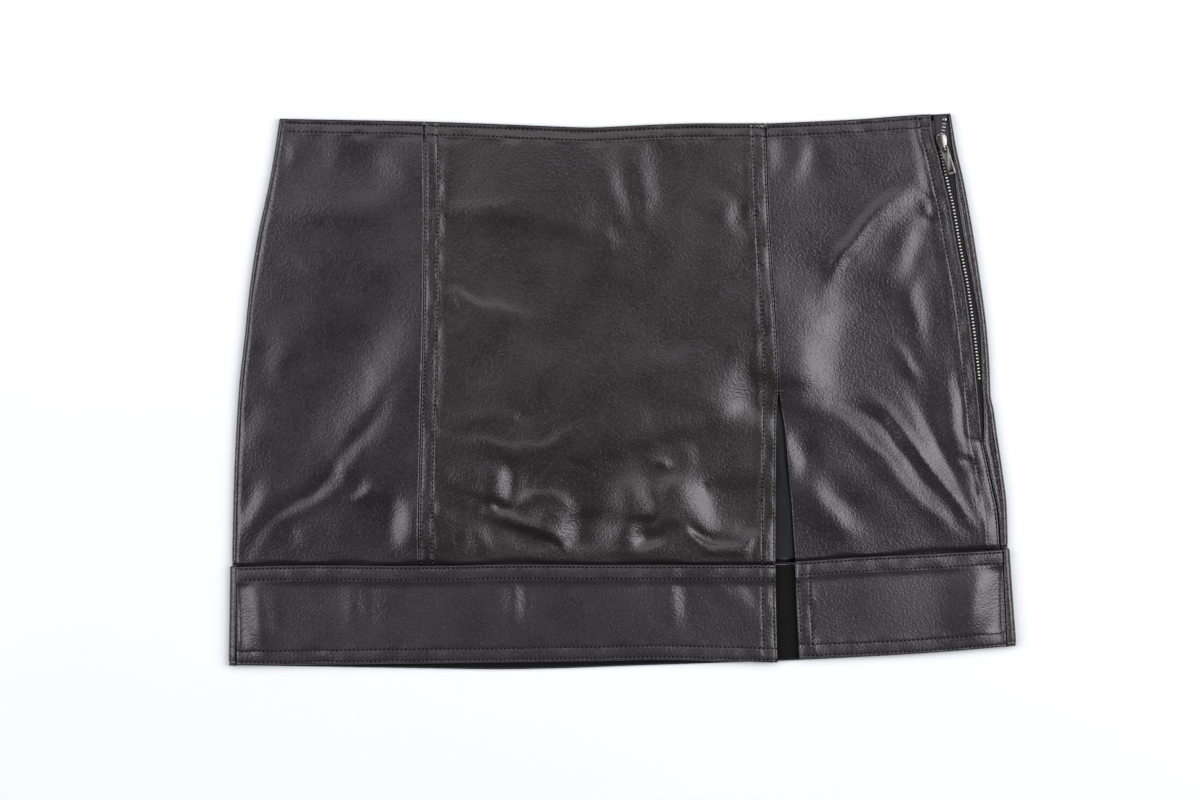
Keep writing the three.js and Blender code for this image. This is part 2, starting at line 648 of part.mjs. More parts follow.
function roundedOutline(width, top, bottom, topRadius, bottomRadius) {
  const w = width / 2;
  const shape = new THREE.Shape();
  shape.moveTo(-w + bottomRadius, bottom);
  shape.lineTo(w - bottomRadius, bottom);
  shape.quadraticCurveTo(w, bottom, w, bottom + bottomRadius);
  shape.lineTo(w, top - topRadius);
  shape.quadraticCurveTo(w, top, w - topRadius, top);
  shape.lineTo(-w + topRadius, top);
  shape.quadraticCurveTo(-w, top, -w, top - topRadius);
  shape.lineTo(-w, bottom + bottomRadius);
  shape.quadraticCurveTo(-w, bottom, -w + bottomRadius, bottom);
  return shape;
}

// Slider: wide shoulders at the waist end, narrow foot, wire bail on top
function zipSlider() {
  const l = SLIDER_LENGTH / 2;
  const w = SLIDER_WIDTH / 2;
  const outline = new THREE.Shape();
  outline.moveTo(-w * 0.72, -l);
  outline.lineTo(w * 0.72, -l);
  outline.lineTo(w * 0.8, -l * 0.3);
  outline.quadraticCurveTo(w * 1.05, l * 0.2, w, l * 0.6);
  outline.quadraticCurveTo(w * 0.8, l, w * 0.3, l);
  outline.lineTo(0, l * 0.86);
  outline.lineTo(-w * 0.3, l);
  outline.quadraticCurveTo(-w * 0.8, l, -w, l * 0.6);
  outline.quadraticCurveTo(-w * 1.05, l * 0.2, -w * 0.8, -l * 0.3);
  outline.lineTo(-w * 0.72, -l);
  const body = toSolid(plate(outline, SLIDER_FOOT, SLIDER_DECK, 5));
  const arch = new THREE.Shape();
  const half = BAIL_LENGTH / 2;
  const deck = SLIDER_DECK - 0.2;
  arch.moveTo(-half, deck);
  arch.lineTo(-half + BAIL_WIRE, deck);
  arch.lineTo(-half + BAIL_WIRE, BAIL_TOP - BAIL_WIRE - 0.5);
  arch.lineTo(-half + BAIL_WIRE + 0.5, BAIL_TOP - BAIL_WIRE);
  arch.lineTo(half - BAIL_WIRE - 0.5, BAIL_TOP - BAIL_WIRE);
  arch.lineTo(half - BAIL_WIRE, BAIL_TOP - BAIL_WIRE - 0.5);
  arch.lineTo(half - BAIL_WIRE, deck);
  arch.lineTo(half, deck);
  arch.lineTo(half, BAIL_TOP - 1);
  arch.quadraticCurveTo(half, BAIL_TOP, half - 1, BAIL_TOP);
  arch.lineTo(-half + 1, BAIL_TOP);
  arch.quadraticCurveTo(-half, BAIL_TOP, -half, BAIL_TOP - 1);
  arch.lineTo(-half, deck);
  const bail = new THREE.ExtrudeGeometry(arch, { depth: BAIL_WIDTH, bevelEnabled: false, curveSegments: 4 });
  bail.translate(0, 0, -BAIL_WIDTH / 2);
  bail.rotateX(Math.PI / 2);
  bail.rotateZ(Math.PI / 2);
  return toGeometry(body.add(toSolid(bail)));
}

// Pull tab: flat plate with an eye round the bail and a slot at its end
function zipPullTab() {
  const outline = roundedOutline(TAB_WIDTH, TAB_BAR / 2, TAB_BAR / 2 - TAB_LENGTH, 1.6, 0.8);
  const eye = new THREE.Path();
  const top = -TAB_BAR / 2;
  const w = TAB_HOLE_WIDTH / 2;
  eye.moveTo(-w, top);
  eye.lineTo(w, top);
  eye.lineTo(w, top - TAB_HOLE_LENGTH + w);
  eye.absarc(0, top - TAB_HOLE_LENGTH + w, w, 0, -Math.PI, true);
  eye.lineTo(-w, top);
  const slot = new THREE.Path();
  const foot = TAB_BAR / 2 - TAB_LENGTH + 1.5;
  slot.moveTo(-TAB_SLOT_WIDTH / 2, foot);
  slot.lineTo(TAB_SLOT_WIDTH / 2, foot);
  slot.lineTo(TAB_SLOT_WIDTH / 2, foot + TAB_SLOT_LENGTH);
  slot.lineTo(-TAB_SLOT_WIDTH / 2, foot + TAB_SLOT_LENGTH);
  slot.lineTo(-TAB_SLOT_WIDTH / 2, foot);
  outline.holes.push(eye, slot);
  return plate(outline, -TAB_THICKNESS / 2, TAB_THICKNESS / 2, 5);
}

const leather = () => new THREE.MeshStandardMaterial({ color: LEATHER_COLOUR, roughness: 0.42, metalness: 0 });
const lining = () => new THREE.MeshStandardMaterial({ color: LINING_COLOUR, roughness: 0.55, metalness: 0 });
const tape = () => new THREE.MeshStandardMaterial({ color: TAPE_COLOUR, roughness: 0.9, metalness: 0 });
const metal = () => new THREE.MeshStandardMaterial({ color: METAL_COLOUR, roughness: 0.32, metalness: 1 });

function mesh(name, geometry, material) {
  const object = new THREE.Mesh(geometry, material);
  object.name = name;
  return object;
}

const skirt = new THREE.Group();
skirt.add(mesh('back_panel', backPanel(), leather()));
skirt.add(mesh('back_lining', backLining(), lining()));
skirt.add(mesh('front_left_panel', frontLeftPanel(), leather()));
skirt.add(mesh('front_centre_panel', frontCentrePanel(), leather()));
skirt.add(mesh('front_right_panel', frontRightPanel(), leather()));
skirt.add(mesh('back_band', backBand(), leather()));
skirt.add(mesh('front_long_band', frontLongBand(), leather()));
skirt.add(mesh('front_short_band', frontShortBand(), leather()));
skirt.add(mesh('zip_tape_front', zipTapeFront(), tape()));
skirt.add(mesh('zip_tape_back', zipTapeBack(), tape()));
skirt.add(mesh('zip_chain', zipChain(), metal()));

const slider = mesh('zip_slider', zipSlider(), metal());
slider.position.set(SLIDER_CENTRE.x, SLIDER_CENTRE.y, 0);
slider.rotation.z = SLIDER_TURN;
skirt.add(slider);

// The tab lies a little askew of the slider, its bar under the bail
const pullTab = mesh('zip_pull_tab', zipPullTab(), metal());
pullTab.position.set(TAB_AXIS.x, TAB_AXIS.y, TAB_AXIS_HEIGHT);
pullTab.rotation.z = TAB_TURN;
skirt.add(pullTab);

export default skirt;
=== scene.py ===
import math

import bmesh
import bpy
import numpy as np
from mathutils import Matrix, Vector


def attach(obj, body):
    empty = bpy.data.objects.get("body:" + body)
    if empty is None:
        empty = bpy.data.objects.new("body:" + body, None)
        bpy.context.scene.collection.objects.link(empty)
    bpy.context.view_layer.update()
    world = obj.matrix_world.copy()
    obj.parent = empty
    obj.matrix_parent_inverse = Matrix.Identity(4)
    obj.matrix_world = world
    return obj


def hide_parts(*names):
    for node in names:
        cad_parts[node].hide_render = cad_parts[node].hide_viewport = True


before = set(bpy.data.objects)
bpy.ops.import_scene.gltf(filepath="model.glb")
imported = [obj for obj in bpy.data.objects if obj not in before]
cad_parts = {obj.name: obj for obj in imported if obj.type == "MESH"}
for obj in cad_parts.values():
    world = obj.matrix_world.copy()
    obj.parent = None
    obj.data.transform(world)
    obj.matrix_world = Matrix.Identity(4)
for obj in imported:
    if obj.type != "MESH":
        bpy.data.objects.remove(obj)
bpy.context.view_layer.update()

# The camera hangs straight over the skirt, as for a flat-lay photograph.
# The frame is 696 mm wide at the skirt's front, and its middle lies a little left of the skirt's.
CAMERA_HEIGHT = 1.8
FRONT_LEVEL = 0.005
SENSOR_WIDTH = 36
FRAME_WIDTH = 0.696
FRAME_MIDDLE = (-0.0131, -0.005)
lens = bpy.data.cameras.new("camera")
lens.sensor_width = SENSOR_WIDTH
lens.lens = SENSOR_WIDTH * (CAMERA_HEIGHT - FRONT_LEVEL) / FRAME_WIDTH
camera = bpy.data.objects.new("camera", lens)
camera.location = (*FRAME_MIDDLE, CAMERA_HEIGHT)
bpy.context.collection.objects.link(camera)
bpy.context.scene.camera = camera


# The back panel is one piece of nappa leather that lies on the table. At both
# sides it rolls up and over to meet the front: at the left in the side seam,
# at the right in the folded strip beside the zip and the seam below it.
LEATHER = 1.2
SEAM_GAP = 0.15
LEFT_FOLD = [
    (162, -198.8), (137.6, -202.4), (116.8, -206.2), (104.6, -208.9), (90, -212), (55, -217.2),
    (35, -219.2), (0, -223), (-45, -225.5), (-86, -226.6), (-102, -226.9),
]
LEFT_SEAM = [
    (162, -196.6), (137.6, -200.4), (104.6, -206.8), (90, -209.9), (55, -215.1), (35, -217.2),
    (0, -220.9), (-45, -223.3), (-86, -224.3), (-100, -224.6),
]
RIGHT_FOLD = [
    (162, 190.4), (139.4, 194.3), (120.2, 198.6), (86, 204.6), (60.5, 208.4), (35.6, 211.6),
    (14, 213.2), (-3.3, 213.9), (-9.1, 215.3), (-25.9, 217.7), (-46.2, 220.7), (-66, 223.1), (-92, 223.9),
]
BACK_STRIP = [
    (162, 189), (140, 191.4), (120.2, 193.2), (89.5, 198), (61.7, 203.2), (35.6, 207.3),
    (0.8, 208.8), (-10.8, 209.6), (-20, 209.6), (-27, 209.1), (-41, 211.9), (-56, 215), (-71, 218),
    (-92, 219.5),
]
BACK_WAIST = [
    (-199, 158.5), (-190, 157.2), (-115, 155), (-19, 151.8), (83, 154), (161, 158.6), (181, 161),
    (191, 161.4),
]
BACK_BAND_TOP = [(-228, -101.2), (88, -100.7), (140, -97), (185, -94), (225, -90.7)]
BACK_CREASES = [
    dict(path=[(-150, 60), (-60, 20), (10, 30)], left=16, right=12, rise=0.9),
    dict(path=[(-190, -20), (-120, -60)], left=12, right=9, rise=0.8),
    dict(path=[(-20, -40), (60, -70)], left=12, right=16, rise=0.9),
    dict(path=[(40, 110), (130, 60), (170, -20)], left=11, right=16, rise=0.9),
    dict(path=[(-110, 130), (-90, 90)], left=10, right=10, rise=0.6),
    dict(path=[(100, -30), (160, -70)], left=9, right=12, rise=0.8),
]


def along(table, at):
    """Smooth line through the rows of a table, without overshoot between them."""
    first, second = np.array(sorted(table), float).T
    step = np.diff(first)
    slope = np.diff(second) / step
    turn = slope[:-1] * slope[1:]
    tangent = np.concatenate([slope[:1], np.zeros(len(slope) - 1), slope[-1:]])
    same = turn > 0
    tangent[1:-1][same] = 2 * turn[same] / (slope[:-1] + slope[1:])[same]
    at = np.clip(at, first[0], first[-1])
    i = np.clip(np.searchsorted(first, at) - 1, 0, len(step) - 1)
    t = (at - first[i]) / step[i]
    return (
        (2 * t**3 - 3 * t**2 + 1) * second[i] + (t**3 - 2 * t**2 + t) * step[i] * tangent[i]
        + (3 * t**2 - 2 * t**3) * second[i + 1] + (t**3 - t**2) * step[i] * tangent[i + 1]
    )


def ease(start, end, value):
    t = np.clip((value - start) / (end - start), 0, 1)
    return t * t * (3 - 2 * t)


def rumple(x, y, size, seed):
    """Uneven soft waves of about one size, the same at every run."""
    table = np.random.default_rng(seed).uniform(-2, 2, (99, 99))
    u, v = np.broadcast_arrays(x / size + 48, y / size + 48)
    i, j = np.floor(u).astype(int), np.floor(v).astype(int)

    def weights(t):
        return (
            (1 - t) ** 3 / 6, (4 - 6 * t**2 + 3 * t**3) / 6,
            (1 + 3 * t + 3 * t**2 - 3 * t**3) / 6, t**3 / 6,
        )

    over_u, over_v = weights(u - i), weights(v - j)
    return sum(a * b * table[i + m, j + n] for m, a in enumerate(over_u) for n, b in enumerate(over_v))


def crease_height(creases, x, y):
    """Soft ridges and troughs along drawn paths, with a width to each side of the path, in millimetres."""
    total = np.zeros(np.broadcast(x, y).shape)
    for crease in creases:
        nearest = np.full(total.shape, 99.0)
        place = np.zeros(total.shape)
        middle = (crease["left"] + crease["right"]) / 2
        lean = (crease["left"] - crease["right"]) / 2
        count = len(crease["path"]) - 1
        for k, ((x1, y1), (x2, y2)) in enumerate(zip(crease["path"], crease["path"][1:])):
            dx, dy = x2 - x1, y2 - y1
            t = np.clip(((x - x1) * dx + (y - y1) * dy) / (dx * dx + dy * dy), 0, 1)
            ax, ay = x - x1 - t * dx, y - y1 - t * dy
            away = np.hypot(ax, ay) + 1e-6
            side = (dx * ay - dy * ax) / (math.hypot(dx, dy) * away)
            share = away / (middle + lean * side)
            place = np.where(share < nearest, (k + t) / count, place)
            nearest = np.minimum(nearest, share)
        taper = 0.25 + 0.75 * ease(0, 0.35, place) * ease(0, 0.35, 1 - place)
        total += crease["rise"] * taper * np.exp(-nearest**2)
    return total


def wall_mesh(name, upper, lower):
    """Closed wall between an upper and a lower grid of points in millimetres."""
    rows, columns = upper.shape[:2]
    points = np.concatenate([upper.reshape(-1, 3), lower.reshape(-1, 3)]) / 1000
    index = np.arange(rows * columns).reshape(rows, columns)
    under = index + rows * columns
    sides = [
        (index[:-1, :-1], index[1:, :-1], index[1:, 1:], index[:-1, 1:]),
        (under[:-1, :-1], under[:-1, 1:], under[1:, 1:], under[1:, :-1]),
        (index[0, :-1], index[0, 1:], under[0, 1:], under[0, :-1]),
        (index[-1, 1:], index[-1, :-1], under[-1, :-1], under[-1, 1:]),
        (index[1:, 0], index[:-1, 0], under[:-1, 0], under[1:, 0]),
        (index[:-1, -1], index[1:, -1], under[1:, -1], under[:-1, -1]),
    ]
    faces = np.concatenate([np.stack([c.ravel() for c in corners], 1) for corners in sides])
    mesh = bpy.data.meshes.new(name)
    mesh.from_pydata(points.tolist(), [], faces.tolist())
    mesh.shade_smooth()
    piece = bpy.data.objects.new(name, mesh)
    bpy.context.collection.objects.link(piece)
    return piece


def spacing(start, end, step, length):
    """Places from 0 to 1: fine steps given at both ends, and even ones between."""
    even = max(2, round((length - start[-1] - end[-1]) / step))
    between = np.linspace(start[-1], length - end[-1], even + 1)[1:-1]
    return np.concatenate([start, between, length - np.array(end[::-1], float)]) / length


def folded_back(name, left_fold, left_end, right_fold, right_end, top, bottom, fold, rows, high):
    """Leather that lies flat and rolls up and over at both sides, as one closed wall.

    The fold is half the leather's thickness, how far the roll reaches inwards, and the heights of
    what is turned over and of the roll's outermost line.
    """
    half, reach, over_z, widest_z = fold
    quarter = np.radians(np.linspace(0, 90, 8))
    lines = []
    for row in rows:
        line = []
        for fold_at, end_at, sign in ((left_fold, left_end, 1), (right_fold, right_end, -1)):
            at = high + (bottom(0) - high) * row
            for _ in range(3):
                at = top(fold_at(at)) + (bottom(fold_at(at)) - top(fold_at(at))) * row
            fold_x, end_x = fold_at(at), end_at(at)
            outer = fold_x + sign * half
            over = max(abs(end_x - outer), 0.4)
            bend = min(over * 0.97, reach * (1.25 if sign > 0 else 0.8))
            flap = over - bend
            rise = [(outer + sign * reach * (1 - math.sin(a)), half + (widest_z - half) * (1 - math.cos(a)))
                    for a in quarter]
            roll = [(outer + sign * bend * (1 - math.cos(a)), widest_z + (over_z - widest_z) * math.sin(a))
                    for a in quarter[1:]]
            strip = [(outer + sign * (bend + flap * t), over_z - 0.12 * flap * math.sin(math.pi * t))
                     for t in (0.2, 0.4, 0.6, 0.8, 1)]
            edge = [(outer + sign * reach * 1.9, half)] + rise + roll + strip
            line.append(edge[::-1] if sign > 0 else edge)
        flat = spacing([0], [0], 3, 400)[1:-1]
        first, last = line[0][-1][0], line[1][0][0]
        middle = [(first + (last - first) * t, half) for t in flat]
        lines.append(line[0] + middle + line[1])
    line = np.array(lines)
    slope = np.gradient(line, axis=1)
    slope /= np.linalg.norm(slope, axis=2, keepdims=True)
    normal = np.stack([-slope[..., 1], slope[..., 0]], 2)
    x = line[..., 0]
    down = top(x) + (bottom(x) - top(x)) * rows[:, None]
    end = np.minimum(np.arange(x.shape[1]), np.arange(x.shape[1])[::-1])
    from_ends = np.minimum(top(x) - down, down - bottom(x))
    edge = np.minimum(from_ends, np.where(end == 0, 0, 9)[None, :])
    thick = half * (0.35 + 0.65 * np.sqrt(1 - (1 - np.clip(edge / 0.8, 0, 1)) ** 2))
    flat_part = ease(0.99, 1.0, normal[..., 1]) * (line[..., 1] < half * 1.01)
    from_folds = np.minimum(x - left_fold(down), right_fold(down) - x)
    inset = np.minimum(from_folds, from_ends)
    lift = crease_height(BACK_CREASES, x, down) * ease(8, 26, inset) * flat_part
    grids = []
    for side in (1, -1):
        gx = x + normal[..., 0] * thick * side
        gz = np.maximum(line[..., 1] + normal[..., 1] * thick * side, 0.02) + lift
        grids.append(np.stack([gx, down, gz], 2))
    return wall_mesh(name, *grids)


class Wire:
    """A shader value that is worked with in plain arithmetic."""

    def __init__(self, finish, socket):
        self.finish, self.socket = finish, socket

    def join(self, operation, one, two):
        return self.finish.node("ShaderNodeMath", dict(operation=operation), {0: one, 1: two})

    def __add__(self, other):
        return self.join("ADD", self, other)

    def __mul__(self, other):
        return self.join("MULTIPLY", self, other)

    __radd__ = __add__
    __rmul__ = __mul__


class Finish:
    """One material: its shader, and the nodes that vary it over the surface."""

    def __init__(self, name, **constants):
        self.material = bpy.data.materials.new(name)
        self.material.use_nodes = True
        self.tree = self.material.node_tree
        self.shader = self.tree.nodes["Principled BSDF"]
        for socket, value in constants.items():
            self.shader.inputs[socket.replace("_", " ")].default_value = value
        self.place = self.node("ShaderNodeTexCoord", output="Object")

    def node(self, kind, settings=None, inputs=None, output=0):
        made = self.tree.nodes.new(kind)
        for name, value in (settings or {}).items():
            setattr(made, name, value)
        for name, value in (inputs or {}).items():
            if isinstance(value, Wire):
                self.tree.links.new(value.socket, made.inputs[name])
            else:
                made.inputs[name].default_value = value
        return Wire(self, made.outputs[output])

    def noise(self, scale, detail=3, roughness=0.5, distortion=0.0, at=None):
        return self.node("ShaderNodeTexNoise", {}, {
            "Vector": at or self.place, "Scale": scale, "Detail": detail, "Roughness": roughness,
            "Distortion": distortion,
        })

    def stretched(self, scale, turn=0.0):
        return self.node("ShaderNodeMapping", {}, {
            "Vector": self.place, "Rotation": (0, 0, turn), "Scale": scale,
        })

    def fit(self, value, low, high, to_low, to_high):
        return self.node("ShaderNodeMapRange", dict(clamp=True), {
            "Value": value, "From Min": low, "From Max": high, "To Min": to_low, "To Max": to_high,
        })

    def blend(self, factor, one, two):
        made = self.tree.nodes.new("ShaderNodeMix")
        made.data_type = "RGBA"
        self.tree.links.new(factor.socket, made.inputs["Factor"])
        colours = [s for s in made.inputs if s.type == "RGBA"]
        for socket, value in zip(colours, (one, two)):
            if isinstance(value, Wire):
                self.tree.links.new(value.socket, socket)
            else:
                socket.default_value = (*value, 1)
        return Wire(self, next(s for s in made.outputs if s.type == "RGBA"))

    def bump(self, height, distance, strength=1.0, over=None):
        inputs = {"Strength": strength, "Distance": distance, "Height": height}
        if over:
            inputs["Normal"] = over
        return self.node("ShaderNodeBump", {}, inputs)

    def feed(self, **links):
        for socket, wire in links.items():
            self.tree.links.new(wire.socket, self.shader.inputs[socket.replace("_", " ")])
        return self.material


def nappa(name, deep, worn):
    """Smooth black nappa: fine pebble grain, soft satin gloss, faint wear and cloudiness."""
    skin = Finish(
        name, Specular_IOR_Level=0.6, Specular_Tint=(1, 0.955, 1, 1), Coat_Weight=0.1, Coat_Roughness=0.25,
    )
    cells = {"Vector": skin.place, "Scale": 900}
    pebble = skin.node("ShaderNodeTexVoronoi", dict(feature="SMOOTH_F1"), cells)
    pores = skin.noise(1000, 2, 0.6)
    lines = skin.noise(260, 3, 0.5, 0.3)
    clouds = skin.noise(9, 4, 0.55)
    patches = skin.noise(34, 3, 0.6)
    grain = pebble * 0.55 + pores * 0.45
    rubbed = skin.fit(clouds * 0.6 + patches * 0.4, 0.36, 0.66, 0, 1)
    colour = skin.blend(rubbed, deep, worn)
    gloss = skin.fit(patches * 0.4 + grain * 0.6, 0.34, 0.66, 0.21, 0.38)
    relief = skin.bump(lines, 0.0001, 0.3)
    relief = skin.bump(grain, 0.00022, 1.0, relief)
    return skin.feed(Base_Color=colour, Roughness=gloss, Normal=relief)


leather = nappa("leather", (0.0085, 0.0068, 0.0088), (0.0127, 0.0105, 0.0130))
# The inside of the leather is its matte flesh side. It is coloured much darker than the grain side, as
# painted shade where it shows deep in the slit, between the bands and under the rolled sides.
flesh_and_slit_shade = Finish("leather_inside", Specular_IOR_Level=0.15)
nap = flesh_and_slit_shade.noise(1600, 3, 0.7)
flesh_and_slit_shade.feed(
    Base_Color=flesh_and_slit_shade.blend(nap, (0.0035, 0.0033, 0.0035), (0.0085, 0.008, 0.0084)),
    Roughness=flesh_and_slit_shade.fit(nap, 0.3, 0.7, 0.95, 0.8),
    Normal=flesh_and_slit_shade.bump(nap, 0.00012, 0.8),
)
UNDER_THE_ROLL = 0.0034


def rest_on(piece, material, replaced, rests_on):
    """The piece's finish, its body, the solid it stands for, and what it rests on, which picks its inside
    faces.
    """
    piece.data.materials.append(material)
    piece.data.materials.append(flesh_and_slit_shade.material)
    # Inside faces take the flesh finish, with its painted shade.
    for face in piece.data.polygons:
        if rests_on:
            inside = face.normal.z < -0.5
        else:
            inside = max(face.normal.z, face.normal.y) > 0.6 and face.center.z < UNDER_THE_ROLL
        face.material_index = int(inside)
    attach(piece, "skirt")
    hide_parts(replaced)


def line_of(table, shift=0):
    return lambda at: along(table, at) + shift


back_panel = folded_back(
    "back_panel_leather",
    line_of(LEFT_FOLD), line_of(LEFT_SEAM, -SEAM_GAP),
    line_of(RIGHT_FOLD), line_of(BACK_STRIP, SEAM_GAP),
    line_of(BACK_WAIST), line_of(BACK_BAND_TOP, SEAM_GAP),
    (LEATHER / 2, 2.17, 4.1, 2.35), spacing([0, 0.3, 0.8], [0.8, 0.3, 0], 3, 258), 158,
)
rest_on(back_panel, leather, "back_panel", [])


# The lining of the back is thin black satin that lies loose on the inside of the
# back panel. It is seen only through the slit, where it ends above the hem band.
SATIN = 0.3
LINING_TOP = 146
LINING_LENGTH = 245


def lining_height(x, y):
    slack = [
        dict(path=[(88, -20), (95, -60), (92, -96)], left=5, right=3, rise=0.45),
        dict(path=[(101, -50), (98, -92)], left=2.5, right=4, rise=0.5),
    ]
    lift = crease_height(BACK_CREASES, x, y) + crease_height(slack, x, y)
    return 1.35 + lift * ease(4, 20, x + 205) * ease(4, 20, 195 - x)


columns = spacing([0, 0.5], [0.5, 0], 2.5, 400)
rows = spacing([0, 0.5], [0.5, 0], 2.5, LINING_LENGTH)
lining_left = along(LEFT_SEAM, LINING_TOP - LINING_LENGTH * rows) + 9
lining_right = along(BACK_STRIP, LINING_TOP - LINING_LENGTH * rows) - 20
x = lining_left[:, None] + (lining_right - lining_left)[:, None] * columns[None, :]
y = along(BACK_WAIST, x) - 12
y += (along(BACK_BAND_TOP, x) + 1.5 - y) * rows[:, None]
z = lining_height(x, y)
lining = wall_mesh("back_lining_satin", np.stack([x, y, z + SATIN], 2), np.stack([x, y, z], 2))
satin = Finish("lining_satin", Specular_IOR_Level=0.32)
ribs = satin.noise(1.0, 2, 0.6, 0.0, satin.stretched((2200, 260, 1)))
shade = satin.blend(satin.noise(40, 3), (0.003, 0.0027, 0.0042), (0.0065, 0.0060, 0.0092))
satin.feed(
    Base_Color=shade,
    Roughness=satin.fit(ribs, 0.3, 0.7, 0.32, 0.5),
    Normal=satin.bump(ribs, 0.00004, 0.5),
)
lining.data.materials.append(satin.material)
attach(lining, "skirt")
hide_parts("back_lining")


# The front is three panels of the same leather, joined in two princess seams whose turnings make
# raised twin-stitched strips on the centre panel. The right seam is open below, as a slit. Waist and
# zip edges are turned in, and the creases are those of a skirt that was worn and then laid down.
FRONT_WAIST = [
    (-197.5, 158.2), (-158, 157.5), (-115, 156.6), (-71, 155.1), (-36, 153.7), (-19, 153.2), (-1.4, 153.9),
    (22, 155), (45, 155.6), (83, 155.6), (103, 156.3), (138, 158), (161, 159.8), (179, 160.9),
]
LEFT_PRINCESS = [
    (160, -115.2), (106.9, -115.1), (35.6, -115.7), (-27, -117.3), (-82.8, -118.4), (-112, -117.8),
]
RIGHT_PRINCESS_CENTRE = [
    (160, 82.8), (106.9, 84.7), (76.2, 86.3), (35.6, 88.9), (0, 90.5), (-10.3, 89.6), (-67.7, 89),
    (-112, 88.8),
]
RIGHT_PRINCESS_SIDE = [
    (160, 82.8), (106.9, 84.7), (76.2, 86.3), (35.6, 88.9), (0, 90.8), (-10.6, 92.1), (-21.9, 94),
    (-45.1, 96), (-67.7, 98), (-85, 99.1), (-97.8, 100), (-112, 100.3),
]
ZIP_EDGE = [
    (162, 178.8), (148, 180.4), (136.5, 183.7), (120.2, 187.2), (108.1, 190.1), (86, 193.9), (61.7, 198.6),
    (35.6, 202.3), (10.6, 205.1), (-10.8, 207.2), (-27, 208.8), (-41, 211.6), (-56, 214.7), (-71, 217.7),
    (-92, 219.2),
]
LONG_BAND_TOP = [(-224, -101.6), (-178, -100.7), (-118, -101.1), (-59, -100.2), (4, -100.5), (89, -100.5)]
SHORT_BAND_TOP = [(100, -98.7), (135, -96.2), (185, -93.8), (220, -91.8)]
BAND_LAP = 7.8
STRIP_WIDTH = 8.5
STRIP_RISE = 0.45
TURNED_EDGE = 2.0
FRONT_TOP = 5.9
SIDE_TOP = 4.7
ZIP_EDGE_RISE = 1.05
WAIST_TOP = 5.2
UNDER_BAND_TOP = 4.5
HIGHEST_RIDGE = 3.2
DEEPEST_TROUGH = 2
FRONT_CREASES = [
    # Left panel
    dict(path=[(-207, 104), (-170, 102), (-130, 103)], left=16, right=6, rise=0.8),
    dict(path=[(-128, 8), (-150, -22), (-168, -48), (-190, -64), (-220, -92)], left=5, right=4, rise=-0.9),
    dict(path=[(-160, -53), (-185, -67), (-203, -80), (-215, -96)], left=4, right=3, rise=0.45),
    dict(path=[(-160, -63), (-150, -60), (-140, -53)], left=2.5, right=3, rise=0.5),
    dict(path=[(-193, 78), (-170, 67)], left=3, right=3, rise=0.35),
    # Centre panel
    dict(path=[(-106, 55), (-96, 57), (-85, 51), (-70, 46), (-50, 42)], left=3, right=6, rise=0.8),
    dict(path=[(-103, 105), (-80, 107), (-58, 111)], left=4, right=6, rise=0.6),
    dict(path=[(-104, 105), (-75, 106), (-50, 104), (-28, 98), (-6, 89)], left=36, right=10, rise=2.2),
    dict(
        path=[(-103, -28), (-84, -30), (-62, -34), (-47, -33), (-36, -27), (-18, -20)],
        left=3.5, right=6, rise=0.9,
    ),
    dict(path=[(-100, -19), (-85, -14), (-62, -13)], left=4, right=4, rise=0.4),
    dict(
        path=[(-66, -45), (-38, -38), (-14, -30), (16, -20), (46, -12), (70, -12)],
        left=40, right=11, rise=3.0,
    ),
    dict(path=[(-77, -63), (-70.5, -67.6), (-61, -69)], left=2, right=2, rise=-1.2),
    dict(path=[(-68, -66.5), (-57, -63), (-44, -61), (-34, -64), (-29, -69)], left=2.5, right=4, rise=0.8),
    dict(path=[(-80, -71), (-62, -75), (-46, -78.5), (-38, -85), (-34, -92)], left=4, right=2.5, rise=1.2),
    dict(path=[(-82, -76), (-62, -82), (-44, -87), (-36, -95)], left=4, right=6, rise=-1.2),
    dict(path=[(-106, -60), (-92, -65), (-84, -68)], left=3, right=5, rise=0.7),
    dict(path=[(16, -38), (23, -39.3), (28, -44)], left=2.5, right=4, rise=0.9),
    dict(path=[(4, -74), (17, -76), (22, -72)], left=3, right=3, rise=-0.9),
    dict(path=[(5, -84), (16, -87), (28, -84)], left=4, right=3, rise=-0.8),
    dict(path=[(-14, -91), (10, -94), (26, -92)], left=3, right=2.5, rise=0.7),
    dict(
        path=[(20, -73), (31, -79), (42, -87), (52, -91), (70, -91), (76, -84), (77, -77)],
        left=3, right=3, rise=0.9,
    ),
    dict(path=[(34, -80.5), (46, -85), (60, -85)], left=3.5, right=3, rise=-1.3),
    dict(path=[(48, -53), (49, -60)], left=2, right=2, rise=-0.5),
    # Right panel
    dict(path=[(168, 123), (158, 112), (141, 97), (127, 79), (118, 60)], left=8, right=5, rise=1.7),
    dict(path=[(150, 99), (136, 82), (128, 68)], left=2.5, right=2.5, rise=-0.5),
    dict(path=[(154, 29), (162, 20), (171, 5)], left=3, right=5, rise=1.3),
    dict(path=[(160, 12), (175, -15), (190, -45), (203, -72)], left=9, right=3.5, rise=-1.3),
    dict(path=[(140, 3), (156, -14), (170, -33), (190, -61), (209, -89)], left=3, right=3.5, rise=0.9),
    dict(path=[(122, -5), (136, -9), (149, -18), (172, -48), (192, -72)], left=3.5, right=3.5, rise=-0.9),
    dict(
        path=[(110, -6), (130, -14), (150, -38), (170, -62), (190, -80), (210, -92)],
        left=3, right=6, rise=0.6,
    ),
    dict(path=[(80, -4), (90, -4), (100, -5), (111, -9)], left=10, right=6, rise=1.0),
    dict(path=[(170, 100), (188, 95)], left=2.5, right=2.5, rise=-0.5),
    dict(path=[(172, 116), (184, 108)], left=2.5, right=2.5, rise=-0.5),
    dict(path=[(178, 85), (192, 84)], left=2.5, right=2.5, rise=-0.4),
    dict(path=[(194, -38), (206, -41)], left=2, right=2, rise=-0.8),
]
